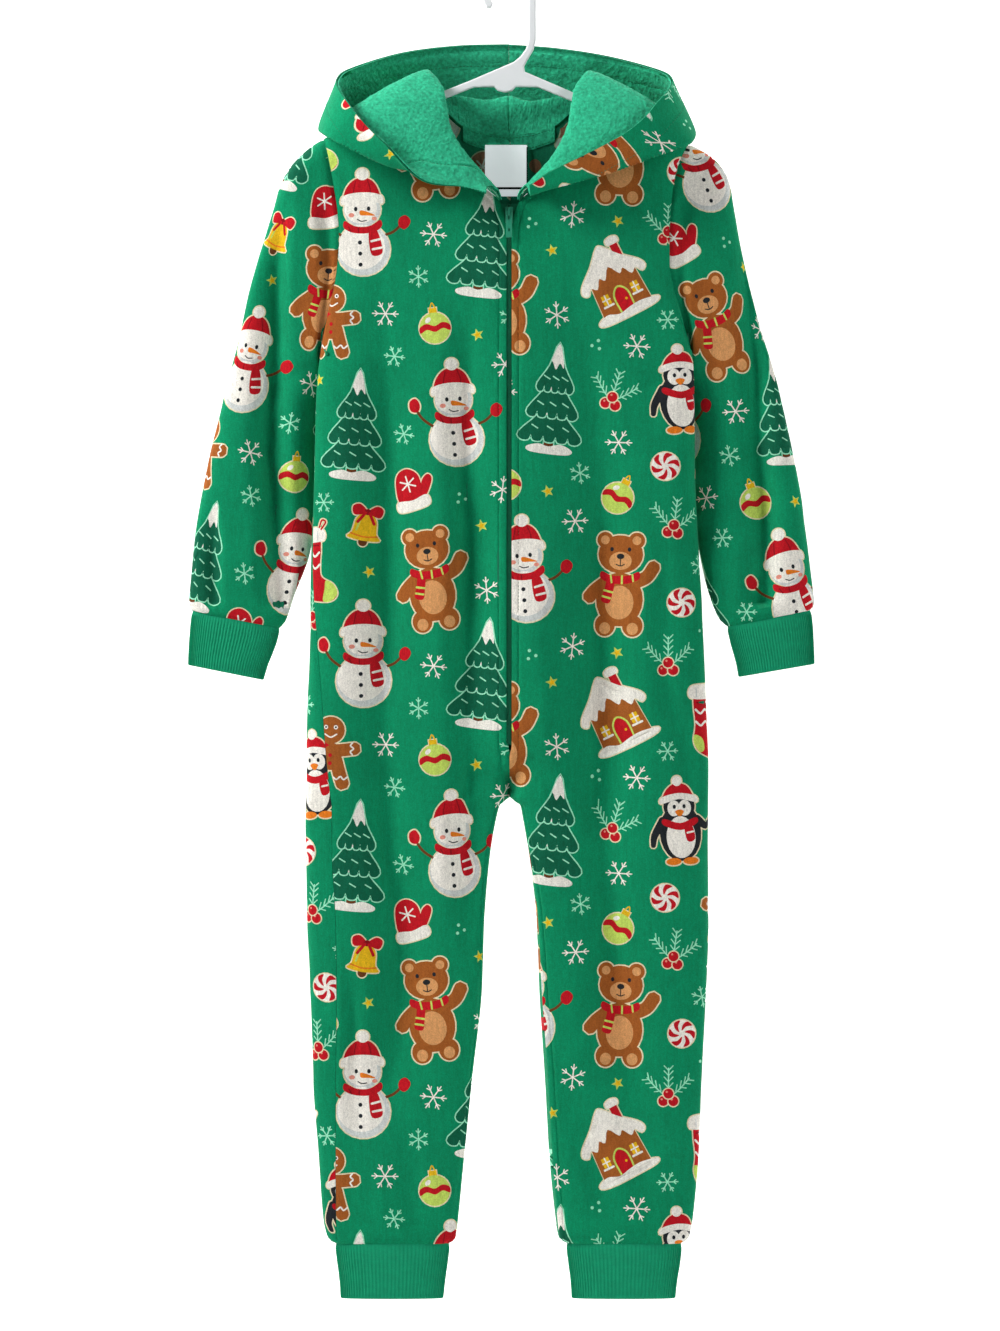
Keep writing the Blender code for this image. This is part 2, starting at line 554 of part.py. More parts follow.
for name, rows in CUFFS.items():
    outer = oval_rings(rows, 20)
    inset = []
    for first_x, first_drop, last_x, last_drop, depth, y in rows:
        slope = (last_drop - first_drop) / (last_x - first_x)
        inset.append((first_x + RIB_WALL, first_drop + RIB_WALL * slope, last_x - RIB_WALL,
                      last_drop - RIB_WALL * slope, depth - RIB_WALL, y))
    shell(name, outer, oval_rings(inset, 20), RIB_GREEN, closed=True)


STATION_STEPS = np.array([0, 0.6, 1.3, 2, 2.5, 3, 3.5, 4, 4.6, 5.3, 6, 6.7, 7.4, 8.2, 9, 10, 11])
LINE_STEPS = np.array([0, 0.6, 1.1, 1.6, 2, 2.15, 2.5, 3, 3.6, 3.9, 4.2, 4.6, 5, 5.45, 6])


def neck_point(side, q):
    """The middle of the body's wall at the neck, beside row q (negative on the back)."""
    face = -1 if q >= 0 else 1
    x, drop, y = half_ring(side, abs(q), face)[0][-1]
    lean = min(abs(q) / 0.9, 1.0)
    return np.array([ZIP_X + (x - ZIP_X) * 0.98, drop - 1.8, y - face * WALL / 2 * lean])


def hood_grid(side, stations, lines):
    """The middle surface of the hood at stations by lines."""
    table = HOODS[side]
    by_line = [catmull([row[k] for row in table]) for k in range(1, len(HOOD_LINES) + 1)]
    neck_rows = smooth([row[0] for row in table])
    grid = []
    for q in stations:
        start = neck_point(side, neck_rows(q))
        across = catmull([start] + [line(q) for line in by_line])
        grid.append([across(p) for p in lines])
    return np.array(grid)


for side in HOODS:
    points = hood_grid(side, STATION_STEPS, LINE_STEPS)
    normals = grid_normals(points)
    normals[-1, :, 0] = 0
    normals[-1] /= np.linalg.norm(normals[-1], axis=1)[:, None]
    if normals[-1, -3, 2] < 0:
        normals = -normals
    near = HOOD_GAP / 2
    far = near + HOOD_WALL
    shell(f"hood_outer_{side}", points + normals * far, points + normals * near, GREEN)
    shell(f"hood_lining_{side}", points - normals * near, points - normals * far, PILE_GREEN)


def surface_y(side, face, x, drop):
    """How far the body's face lies from the middle plane at x, drop."""
    low = 0.0
    high = len(BODY_ROWS[side]) - 1.0
    for step in range(40):
        r = (low + high) / 2
        points = half_ring(side, r, face)[0]
        order = np.argsort(points[:, 0])
        at_x = np.interp(x, points[order, 0], points[order, 1])
        if at_x < drop:
            low = r
        else:
            high = r
    return np.interp(x, points[order, 0], points[order, 2])


def strip(name, rows, columns, near, thick, colour, facing):
    """A flat strip: rows of (first_x, last_x, drop), its depth given by near(x, drop)."""
    outer = []
    for first_x, last_x, drop in rows:
        xs = np.linspace(first_x, last_x, columns)
        outer.append([(x, drop, near(x, drop)) for x in xs])
    outer = np.array(outer)
    inner = outer.copy()
    inner[..., 2] += thick * facing
    return shell(name, outer, inner, colour)


def behind_zip(x, drop):
    side = "right" if x < ZIP_X else "left"
    edge = ZIP_X + (-9.0 if side == "right" else 9.0)
    return surface_y(side, -1, edge, drop) + WALL + 0.45


ZIP_ROWS = ROW_STEPS[(ROW_STEPS >= 5) & (ROW_STEPS <= 14)]
ZIP_DROPS = [float(BODY["right"](r)[COLUMN["front_drop"]]) for r in ZIP_ROWS]
strip("zip_tape", [(ZIP_X - 12, ZIP_X + 12, d) for d in ZIP_DROPS], 3, behind_zip, 0.9, GREEN, 1)
strip("zip_coil", [(ZIP_X - 1.8, ZIP_X + 1.8, d) for d in ZIP_DROPS], 2,
      lambda x, drop: behind_zip(ZIP_X + 1, drop) - 0.35, 1.3, GREEN, -1)

# Slider: a plate over the front edges with a neck between them and a bridge for the pull.
SLIDER_TOP = 209.0
SLIDER_END = 225.0
SLIDER_FACE = surface_y("right", -1, ZIP_X - 5.0, 216.0) - 0.5


def box(made, x, drop, y):
    """A block from pairs of limits."""
    corners = [made.verts.new(p) for p in millimetres(
        [(ZIP_X + a, b, c) for a in x for b in drop for c in y])]
    for face in ((0, 1, 3, 2), (4, 6, 7, 5), (0, 4, 5, 1), (2, 3, 7, 6), (0, 2, 6, 4), (1, 5, 7, 3)):
        made.faces.new([corners[i] for i in face])


def ring_plate(name, outline, holes, near, far, colour, roughness):
    """A plate with square holes, made of cells between sorted limits."""
    xs, drops, keep = outline
    made = bmesh.new()
    table = {}

    def corner(i, j, y):
        if (i, j, y) not in table:
            table[(i, j, y)] = made.verts.new(millimetres([(ZIP_X + xs[i], drops[j], y)])[0])
        return table[(i, j, y)]

    def solid(i, j):
        inside = 0 <= i < len(xs) - 1 and 0 <= j < len(drops) - 1
        return inside and (i, j) not in holes and keep(i, j)

    for i in range(len(xs) - 1):
        for j in range(len(drops) - 1):
            if not solid(i, j):
                continue
            for y in (near, far):
                made.faces.new([corner(i + a, j + b, y) for a, b in ((0, 0), (1, 0), (1, 1), (0, 1))])
            for di, dj, a, b in ((-1, 0, (0, 0), (0, 1)), (1, 0, (1, 0), (1, 1)),
                                 (0, -1, (0, 0), (1, 0)), (0, 1, (0, 1), (1, 1))):
                if not solid(i + di, j + dj):
                    made.faces.new([corner(i + a[0], j + a[1], near), corner(i + b[0], j + b[1], near),
                                    corner(i + b[0], j + b[1], far), corner(i + a[0], j + a[1], far)])
    return finish(name, made, colour, roughness, flat=True)


def slider():
    """Plate, neck and bridge as one block cut out with exact booleans."""
    made = bmesh.new()
    box(made, (-3.6, 3.6), (SLIDER_TOP, SLIDER_END), (SLIDER_FACE - 2.2, SLIDER_FACE))
    plate = finish("zip_slider", made, GREEN, 0.5, flat=True)
    blocks = (((-1.6, 1.6), (SLIDER_TOP + 1, SLIDER_END - 1), (SLIDER_FACE - 0.5, SLIDER_FACE + 1.1)),
              ((-0.9, 0.9), (SLIDER_TOP + 0.8, SLIDER_TOP + 2.2), (SLIDER_FACE - 5.6, SLIDER_FACE - 2)),
              ((-0.9, 0.9), (SLIDER_TOP + 7.0, SLIDER_TOP + 8.4), (SLIDER_FACE - 5.6, SLIDER_FACE - 2)),
              ((-0.9, 0.9), (SLIDER_TOP + 0.8, SLIDER_TOP + 8.4), (SLIDER_FACE - 6.8, SLIDER_FACE - 5.5)))
    for number, (x, drop, y) in enumerate(blocks):
        made = bmesh.new()
        box(made, x, drop, y)
        block = finish(f"block_{number}", made, GREEN, 0.5, flat=True)
        join = plate.modifiers.new(f"join_{number}", "BOOLEAN")
        join.operation = "UNION"
        join.solver = "EXACT"
        join.object = block
        bpy.context.view_layer.update()
        seen = plate.evaluated_get(bpy.context.evaluated_depsgraph_get())
        mesh = bpy.data.meshes.new_from_object(seen)
        plate.modifiers.clear()
        plate.data = mesh
        bpy.data.objects.remove(block, do_unlink=True)
    plate.data.materials.clear()
    plate.data.materials.append(bpy.data.materials["zip_slider_material"])
    return plate


slider()

# Pull: its top bar passes under the slider's bridge, its side bars reach down to a holed tab.
PULL_DROP = SLIDER_TOP + 4.6
PULL_Y = SLIDER_FACE - 4.0
PULL_THICK = 1.3
pull_xs = [-3.0, -1.5, -0.9, 0.9, 1.5, 3.0]
pull_drops = [PULL_DROP - 0.8, PULL_DROP + 0.8, PULL_DROP + 8.0, PULL_DROP + 17.0, PULL_DROP + 20.0,
              PULL_DROP + 26.0]
slot = {(1, 1), (2, 1), (3, 1)}
eye = {(2, 3)}
pull = ring_plate("pull_tab", (pull_xs, pull_drops, lambda i, j: True), slot | eye,
                  PULL_Y - PULL_THICK / 2, PULL_Y + PULL_THICK / 2, GREEN, 0.5)
pivot = millimetres([(ZIP_X, PULL_DROP, PULL_Y)])[0]
for vertex in pull.data.vertices:
    vertex.co = [vertex.co[k] - pivot[k] for k in range(3)]
pull.location = pivot


def inside_back(x, drop):
    side = "right" if x < ZIP_X else "left"
    return surface_y(side, 1, x, drop) - WALL - 0.4


TAPE_HALF = 46.0
TAPE_TALL = 10.0
tape = []
for j in range(3):
    line = []
    for i in range(11):
        x = ZIP_X - TAPE_HALF + 2 * TAPE_HALF * i / 10
        away = abs(x - ZIP_X)
        edge = 140.0 - 10.5 * (away / TAPE_HALF) ** 2.2
        drop = edge + TAPE_TALL * j / 2
        line.append((x, drop, inside_back(x, drop + 2.0)))
    tape.append(line)
tape = np.array(tape)
tape_front = tape.copy()
tape_front[..., 2] -= 1.0
shell("neck_tape", tape, tape_front, PILE_GREEN)

label_rows = [(ZIP_X - 24.0, ZIP_X - 24.0 + LABEL_WIDTH, d) for d in
              np.linspace(LABEL_TOP, LABEL_END, 5)]
strip("neck_label", label_rows, 4,
      lambda x, drop: min(inside_back(ZIP_X - 20, LABEL_TOP + 2), inside_back(ZIP_X - 3, LABEL_TOP + 2))
      - 1.6 - 0.03 * (drop - LABEL_TOP), 1.0, WHITE, -1)


def arc(centre_x, centre_drop, radius, first, last, count):
    """Points round a centre; angles in degrees, 0 to the left side, 90 up."""
    turns = np.radians(np.linspace(first, last, count))
    return [(centre_x + radius * cos(t), centre_drop - radius * sin(t)) for t in turns]


def hanger():
    """One moulded outline of arms, body, stem and hook, rounded at its edges."""
    centre = ROD_DROP + HOOK_RADIUS
    stem = ZIP_X + HOOK_RADIUS
    outline = [(514, 62), (520.5, 56.5), (526, 49), (stem, 40)]
    outline += arc(ZIP_X, centre, HOOK_RADIUS, 0, 215, 17)
    tip = arc(ZIP_X, centre, HOOK_RADIUS + HOOK_WIDTH / 2, 215, 221, 2)[1]
    outline += [tip]
    outline += arc(ZIP_X, centre, HOOK_RADIUS + HOOK_WIDTH, 215, 0, 19)
    outline += [(stem + HOOK_WIDTH, 40), (533.5, 50), (527.5, 60), (524, 67), (525, 72)]
    outline += [(574, 93), (600, 106.0), (662, 134.5), (665.5, 139), (661, 142)]
    outline += [(600, 114), (575, 102.5), (538, 87.5), (516, 87), (512, 91), (505, 92.5), (498, 91)]
    outline += [(494, 87), (474, 87.5), (438, 101.5), (356, 137), (352, 133.5), (355, 129.5)]
    outline += [(437, 94), (472, 80)]
    made = bmesh.new()
    sheets = []
    for y in (-HANGER_HALF, HANGER_HALF):
        corners = [made.verts.new(p) for p in millimetres([(x, drop, y) for x, drop in outline])]
        made.faces.new(corners)
        sheets.append(corners)
    near, far = sheets
    for i in range(len(near)):
        j = (i + 1) % len(near)
        made.faces.new((near[i], near[j], far[j], far[i]))
    bmesh.ops.recalc_face_normals(made, faces=made.faces)
    rims = [e for e in made.edges
            if abs(e.verts[0].co.y - e.verts[1].co.y) < 1e-6 and e.is_manifold]
    bmesh.ops.bevel(made, geom=rims, offset=1.5 * MM, offset_type="OFFSET", segments=2,
                    profile=0.5, affect="EDGES", clamp_overlap=True)
    bmesh.ops.triangulate(made, faces=[f for f in made.faces if len(f.verts) > 4])
    return finish("hanger", made, WHITE, 0.35)


hanger()
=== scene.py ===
import bmesh
import bpy
import json
import numpy as np
from math import cos, pi, radians, sin, hypot, atan2
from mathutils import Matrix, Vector, kdtree
from mathutils.geometry import delaunay_2d_cdt

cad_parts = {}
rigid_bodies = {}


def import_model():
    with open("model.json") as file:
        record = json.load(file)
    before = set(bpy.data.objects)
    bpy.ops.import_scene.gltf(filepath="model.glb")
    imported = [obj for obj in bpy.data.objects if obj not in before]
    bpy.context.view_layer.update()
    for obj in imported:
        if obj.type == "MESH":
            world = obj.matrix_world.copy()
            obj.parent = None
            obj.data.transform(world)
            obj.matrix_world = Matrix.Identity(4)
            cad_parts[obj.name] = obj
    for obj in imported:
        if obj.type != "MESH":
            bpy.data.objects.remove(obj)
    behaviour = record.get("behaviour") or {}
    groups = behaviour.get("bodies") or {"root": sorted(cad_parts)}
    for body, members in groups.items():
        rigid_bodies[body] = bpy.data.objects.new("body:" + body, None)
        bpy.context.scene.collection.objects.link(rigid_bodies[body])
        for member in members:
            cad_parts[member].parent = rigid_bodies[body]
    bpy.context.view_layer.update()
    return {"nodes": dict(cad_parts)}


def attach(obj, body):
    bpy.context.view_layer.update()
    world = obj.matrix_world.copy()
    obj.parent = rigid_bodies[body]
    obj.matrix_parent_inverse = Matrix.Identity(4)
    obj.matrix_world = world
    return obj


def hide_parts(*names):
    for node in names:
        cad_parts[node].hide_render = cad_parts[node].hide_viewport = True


# The looks of a child's hooded fleece one-piece pajama on a plastic hanger.
# Tables are in millimetres: x grows toward the wearer's left, drop grows downward,
# y grows toward the back. The shape's tables and functions match the solids.
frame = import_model()

MM = 0.001
ZIP_X = 509.0          # the zip, at the garment's middle
ROD_DROP = -27.0       # the drop of the frame's origin
WALL = 2.0             # how thick the body's cloth is
HOOD_WALL = 1.3
RIB_WALL = 2.4
SEAM = 0.36            # the gap between two solids at a seam
BODY_POWER = 3.2       # how square the body's section is
SLEEVE_POWER = 2.4     # and that of a sleeve or a cuff
RIDGE_ROWS = 0.9       # rows over which the body rounds off below the shoulder line

BODY_COLUMNS = ("front_x", "front_drop", "back_x", "back_drop", "out_x", "out_drop",
                "depth", "in_edge", "side_wrap", "inseam_wrap")
# One row per level: the inner line runs down the neck, zip, crotch and inseam, the outer
# line down the armhole, side and outseam. in_edge is the inner line's share of the depth.
RIGHT_ROWS = (
    (433.0, 88, 433.0, 88, 323.0, 139, 19, 1, 0, 0),
    (436.0, 108, 447.0, 114, 328.0, 162, 20, 1, 0, 0),
    (443.0, 134, 470.0, 131, 333.0, 187, 22, 1, 0, 0),
    (456.0, 160, 508.8, 139, 337.0, 213, 24, 1, 0, 0),
    (478.0, 185, 508.8, 163, 338.5, 238, 25, 1, 0, 0),
    (500.0, 204, 508.8, 192, 337.0, 263, 26, 1, 0, 0),
    (506.6, 232, 508.8, 224, 333.5, 288, 27, 1, 0, 0),
    (506.6, 272, 508.8, 267, 326.5, 318, 27, 1, 0, 0),
    (506.6, 330, 508.8, 330, 320.0, 353, 27, 1, 0, 0),
    (506.6, 398, 508.8, 398, 316.0, 398, 27, 1, 0, 0),
    (506.6, 478, 508.8, 478, 314.0, 478, 27, 1, 3, 0),
    (506.6, 560, 508.8, 560, 311.5, 560, 26, 1, 7, 0),
    (506.6, 640, 508.8, 640, 310.0, 640, 26, 1, 16, 0),
    (506.6, 700, 508.8, 700, 307.0, 700, 25, 1, 24, 0),
    (506.6, 745, 508.8, 745, 306.0, 745, 24, 0.92, 28, 0),
    (508.8, 757, 508.8, 757, 306.0, 757, 24, 0.72, 29, 0),
    (508.8, 778, 508.8, 780, 306.0, 780, 23, 0.36, 31, 0),
    (508.4, 797, 508.4, 797, 306.0, 797, 23, 0.10, 33, 0),
    (500.0, 805, 500.0, 805, 306.0, 806, 22, 0.0, 34, 0),
    (496.0, 820, 496.0, 820, 306.0, 820, 22, 0.0, 34, 0),
    (490.0, 856, 490.0, 856, 306.5, 856, 22, 0.0, 34, 0),
    (484.5, 920, 484.5, 920, 307.5, 920, 21, 0.0, 36, 0),
    (482.0, 990, 482.0, 990, 310.0, 990, 20, 0.0, 34, 0),
    (473.0, 1072, 473.0, 1072, 313.0, 1072, 19, 0.0, 30, 0),
    (464.0, 1160, 464.0, 1160, 318.5, 1160, 18, 0.0, 24, 0),
    (457.5, 1225, 457.5, 1225, 324.0, 1225, 16, 0.0, 18, 0),
    (455.5, 1238, 455.5, 1238, 328.0, 1238, 15, 0.0, 14, 0),
    (450.0, 1243.5, 450.0, 1243.5, 335.0, 1243.5, 13, 0.0, 10, 0),
)
LEFT_ROWS = (
    (583.0, 90, 583.0, 90, 689.0, 144, 19, 1, 0, 0),
    (580.0, 110, 570.0, 115, 680.0, 164, 20, 1, 0, 0),
    (573.0, 136, 547.0, 131, 674.0, 189, 22, 1, 0, 0),
    (560.0, 162, 509.2, 139, 671.0, 214, 24, 1, 0, 0),
    (540.0, 186, 509.2, 163, 670.0, 239, 25, 1, 0, 0),
    (519.0, 204, 509.2, 192, 670.0, 264, 26, 1, 0, 0),
    (511.4, 232, 509.2, 224, 674.5, 290, 27, 1, 0, 0),
    (511.4, 272, 509.2, 267, 683.0, 319, 27, 1, 0, 0),
    (511.4, 330, 509.2, 330, 690.0, 353, 27, 1, 0, 0),
    (511.4, 398, 509.2, 398, 693.0, 398, 27, 1, 0, 0),
    (511.4, 478, 509.2, 478, 695.0, 478, 27, 1, 0, 0),
    (511.4, 560, 509.2, 560, 699.0, 560, 26, 1, -2, 0),
    (511.4, 640, 509.2, 640, 703.5, 640, 26, 1, -3, 0),
    (511.4, 700, 509.2, 700, 706.0, 700, 25, 1, -4, 0),
    (511.4, 745, 509.2, 745, 707.5, 745, 24, 0.92, -4, 0),
    (509.2, 757, 509.2, 757, 708.0, 757, 24, 0.72, -4, 0),
    (509.2, 778, 509.2, 780, 708.0, 780, 23, 0.36, -4, 0),
    (509.6, 797, 509.6, 797, 708.0, 797, 23, 0.10, -4, 0),
    (520.0, 805, 520.0, 805, 708.0, 806, 22, 0.0, -4, 1),
    (523.0, 820, 523.0, 820, 708.0, 820, 22, 0.0, -4, 2),
    (529.0, 856, 529.0, 856, 707.5, 856, 22, 0.0, -4, 4),
    (536.5, 920, 536.5, 920, 707.0, 920, 21, 0.0, -4, 6),
    (539.0, 990, 539.0, 990, 704.5, 990, 20, 0.0, -4, 8),
    (544.0, 1072, 544.0, 1072, 702.0, 1072, 19, 0.0, -4, 9),
    (549.0, 1160, 549.0, 1160, 698.0, 1160, 18, 0.0, -4, 9),
    (556.0, 1225, 556.0, 1225, 691.5, 1225, 16, 0.0, -4, 6),
    (559.0, 1238, 559.0, 1238, 688.0, 1238, 15, 0.0, -4, 4),
    (566.0, 1243.5, 566.0, 1243.5, 682.0, 1243.5, 13, 0.0, -4, 3),
)
BODY_ROWS = {"right": RIGHT_ROWS, "left": LEFT_ROWS}
UNDERARM_ROW = 8.0
ARMHOLE_SHARE = 0.66   # of the depth, at the armhole's widest

SLEEVE_COLUMNS = ("out_x", "out_drop", "in_x", "in_drop", "depth", "out_y", "in_y", "armhole")
# One row per ring from the armhole to the cuff; the last one turns in to meet the cuff.
RIGHT_SLEEVE = (
    (323.0, 139, 320.0, 353, 16, 0, 0, 1.0),
    (303.0, 153, 318.4, 358, 17, 1, 2, 0.86),
    (284.0, 176, 317.0, 366, 18, 2, 5, 0.70),
    (271.0, 212, 315.8, 377, 18, 3, 9, 0.52),
    (258.5, 254, 315.6, 390, 18, 4, 13, 0.36),
    (248.0, 294, 316.2, 406, 18, 5, 17, 0.22),
    (239.0, 336, 317.0, 425, 18, 5, 19, 0.11),
    (228.0, 380, 317.2, 448, 18, 5, 20, 0.04),
    (216.0, 434, 316.8, 478, 18, 5, 19, 0.0),
    (203.0, 492, 315.4, 518, 17, 5, 17, 0.0),
    (193.5, 548, 310.0, 554, 17, 5, 12, 0.0),
    (189.5, 585, 296.0, 592, 16, 5, 8, 0.0),
    (188.0, 604, 285.5, 622, 15, 5, 6, 0.0),
    (191.5, 611.5, 280.0, 628.5, 13, 5, 5, 0.0),
)
LEFT_SLEEVE = (
    (689.0, 144, 690.0, 353, 16, 0, 0, 1.0),
    (708.0, 154, 691.6, 358, 17, 1, 2, 0.86),
    (726.0, 174, 693.0, 366, 18, 2, 5, 0.70),
    (737.0, 215, 694.0, 377, 18, 3, 9, 0.52),
    (748.5, 258, 694.0, 390, 18, 4, 13, 0.36),
    (757.5, 297, 693.2, 406, 18, 5, 17, 0.22),
    (766.0, 336, 692.6, 425, 18, 5, 19, 0.11),
    (777.0, 380, 692.4, 448, 18, 5, 20, 0.04),
    (788.0, 434, 692.8, 478, 18, 5, 19, 0.0),
    (798.5, 492, 694.6, 518, 17, 5, 17, 0.0),
    (807.0, 548, 699.5, 554, 17, 5, 12, 0.0),
    (812.5, 585, 708.0, 592, 16, 5, 8, 0.0),
    (815.0, 603, 719.5, 620, 15, 5, 6, 0.0),
    (811.5, 610.5, 727.0, 627.0, 13, 5, 5, 0.0),
)
SLEEVES = {"right": RIGHT_SLEEVE, "left": LEFT_SLEEVE}

# One row per ring: first x and drop, last x and drop, depth, y.
CUFFS = {
    "sleeve_cuff_right": ((191.7, 611.9, 279.8, 628.9, 12.8, 5), (190.0, 630, 275.0, 646, 12.4, 5),
                          (188.6, 650, 267.5, 665, 12.2, 5), (188.0, 665, 263.0, 680, 12.0, 5)),
    "sleeve_cuff_left": ((727.2, 627.4, 811.3, 610.9, 12.8, 5), (731.5, 645, 813.0, 629, 12.4, 5),
                         (736.5, 663, 814.0, 650, 12.2, 5), (739.0, 677, 814.5, 664, 12.0, 5)),
    "leg_cuff_right": ((335.2, 1243.9, 449.8, 1243.9, 12.8, 0), (337.5, 1262, 447.5, 1262, 12.5, 0),
                       (339.8, 1280, 445.0, 1280, 12.2, 0), (341.0, 1298, 443.0, 1298, 12.0, 0)),
    "leg_cuff_left": ((566.2, 1243.9, 681.8, 1243.9, 12.8, 0), (568.5, 1262, 680.0, 1262, 12.5, 0),
                      (570.8, 1280, 677.0, 1280, 12.2, 0), (572.0, 1298, 675.0, 1298, 12.0, 0)),
}

# The hood lies open. Each row is a station from the zip round to the centre back: the body's
# row that its neck seam meets (negative on the back), then x, drop, y of each line.
HOOD_LINES = ("rise", "crest", "slope", "foot", "outside", "rim")
HOOD_GAP = 0.5         # between the hood's two layers
RIGHT_HOOD = (
    (5.0, (499, 197, -31), (493, 190, -36), (488, 190, -42), (486, 192, -47),
     (486, 194.5, -50), (486.5, 197, -52)),
    (4.1, (481, 177, -30), (475, 171, -39), (469, 175, -45), (466, 181, -49),
     (465, 186, -51), (465, 191, -52)),
    (3.0, (460, 154, -29), (459, 151, -39), (445, 159, -46), (433, 168, -50),
     (427, 176.5, -54), (423, 185, -62)),
    (2.0, (448, 129, -26), (447, 132, -36), (423, 145, -45), (401, 160, -46),
     (389, 170, -57), (388, 151, -69)),
    (1.0, (443, 104, -21), (442, 110, -30), (410, 125, -40), (372, 143, -47),
     (352, 153, -54), (366, 129, -60)),
    (0.35, (439, 89, -14), (438, 90, -20), (399, 103, -30), (356, 124, -38),
     (331, 141, -44), (351, 110, -50)),
    (0.0, (431, 79, -1), (425, 72, -4), (391, 88, -12), (350, 113, -20),
     (321.5, 133, -22), (340, 92, -32)),
    (-0.35, (437, 87, 12), (431, 79, 14), (399, 96, 15), (356, 122, 16),
     (322.5, 129, 10), (338.5, 79, -8)),
    (-1.0, (447, 99, 21), (444, 93, 28), (425, 125, 37), (385, 170, 43),
     (345, 122, 46), (351.5, 67, 14)),
    (-2.0, (469, 108, 27), (467, 98, 33), (461, 150, 42), (448, 212, 50),
     (415, 132, 70), (400, 50, 32)),
    (-2.5, (489, 111, 28), (488, 101, 34), (486, 160, 43), (482, 224, 53),
     (462, 134, 76), (455, 41.5, 43)),
    (-3.0, (508.7, 110, 29), (508.7, 97, 35), (508.7, 163, 43), (508.7, 228, 54),
     (508.7, 134, 78), (508.7, 39.5, 47)),
)
LEFT_HOOD = (
    (5.0, (519, 197, -31), (525, 190, -36), (528, 192, -41), (529, 197, -46),
     (530, 198, -52), (529, 190, -56)),
    (4.1, (537, 178, -30), (547, 175, -39), (550, 179, -44), (552, 187, -48),
     (553, 191, -54), (551, 176, -59)),
    (3.0, (556, 156, -29), (560, 154, -39), (570, 164, -46), (580, 175, -51),
     (586, 183.0, -57), (584, 160, -62)),
    (2.0, (568, 131, -26), (571, 135, -36), (594, 147, -45), (615, 162, -50),
     (623, 171.5, -57), (620, 141, -62)),
    (1.0, (573, 106, -21), (577, 111, -30), (607, 126, -39), (640, 145, -46),
     (659, 158.0, -54), (642, 124, -60)),
    (0.35, (577, 91, -14), (580, 91, -20), (616, 104, -29), (660, 129, -37),
     (686, 148.0, -44), (655, 108, -50)),
    (0.0, (585, 81, -1), (591, 73, -4), (625, 89, -12), (666, 114, -20),
     (693.5, 138, -22), (668, 92, -32)),
    (-0.35, (579, 89, 12), (585, 80, 14), (617, 97, 15), (660, 122, 16),
     (691.5, 131, 10), (671, 80, -8)),
    (-1.0, (569, 100, 21), (572, 94, 28), (591, 125, 37), (631, 170, 43),
     (671, 124, 46), (659, 69, 14)),
    (-2.0, (547, 109, 27), (549, 99, 33), (555, 150, 42), (568, 212, 50),
     (601, 132, 70), (612, 54, 32)),
    (-2.5, (528, 112, 28), (529, 102, 34), (531, 160, 43), (534, 224, 53),
     (554, 134, 76), (560, 44.3, 43)),
    (-3.0, (509.3, 110, 29), (509.3, 97, 35), (509.3, 163, 43), (509.3, 228, 54),
     (509.3, 134, 78), (509.3, 39.8, 47)),
)
HOODS = {"right": RIGHT_HOOD, "left": LEFT_HOOD}


def millimetres(points):
    """Points of x, drop, y in millimetres as places in metres."""
    points = np.asarray(points, float)
    return np.stack([(points[..., 0] - ZIP_X) * MM, points[..., 2] * MM,
                     (ROD_DROP - points[..., 1]) * MM], -1)


def smooth(values):
    """A monotone cubic through values at 0, 1, 2 ... as a function."""
    v = np.asarray(values, float)
    d = np.diff(v, axis=0)
    m = np.zeros_like(v)
    both = d[:-1] * d[1:]
    total = np.where(both > 0, d[:-1] + d[1:], 1.0)
    m[1:-1] = np.where(both > 0, 2 * both / total, 0.0)
    m[0] = d[0]
    m[-1] = d[-1]

    def at(q):
        i = int(min(max(q, 0.0), len(v) - 1.000001))
        t = q - i
        a = v[i] * (2 * t ** 3 - 3 * t ** 2 + 1) + m[i] * (t ** 3 - 2 * t ** 2 + t)
        return a + v[i + 1] * (3 * t ** 2 - 2 * t ** 3) + m[i + 1] * (t ** 3 - t ** 2)
    return at


def catmull(points):
    """A curve through points at 0, 1, 2 ... that may turn back, as a function."""
    v = np.asarray(points, float)
    ends = np.concatenate([[2 * v[0] - v[1]], v, [2 * v[-1] - v[-2]]])

    def at(q):
        i = int(min(max(q, 0.0), len(v) - 1.000001))
        t = q - i
        a, b, c, d = ends[i], ends[i + 1], ends[i + 2], ends[i + 3]
        return 0.5 * (2 * b + (c - a) * t + (2 * a - 5 * b + 4 * c - d) * t ** 2
                      + (3 * b - a - 3 * c + d) * t ** 3)
    return at


COLUMN = {name: k for k, name in enumerate(BODY_COLUMNS)}
BODY = {side: smooth(rows) for side, rows in BODY_ROWS.items()}
SLEEVE = {side: smooth(rows) for side, rows in SLEEVES.items()}


def eased(value):
    """A value from 0 to 1, level at both ends."""
    value = np.clip(value, 0.0, 1.0)
    return value * value * (3 - 2 * value)


def unit(vectors, least=1e-9):
    """Vectors of length one; those shorter than least stay short."""
    return vectors / np.maximum(np.linalg.norm(vectors, axis=-1, keepdims=True), least)


def summed(steps, axis=0):
    """Running sums along an axis, from zero."""
    return np.cumsum(np.insert(steps, 0, 0.0, axis=axis), axis=axis)


def run_length(points):
    """The distance along a walk at each of its points."""
    return summed(np.linalg.norm(np.diff(points, axis=0), axis=1))


def walk(points, length, along):
    """Places at distances along a walk."""
    return np.stack([np.interp(along, length, points[:, k]) for k in range(3)], -1)


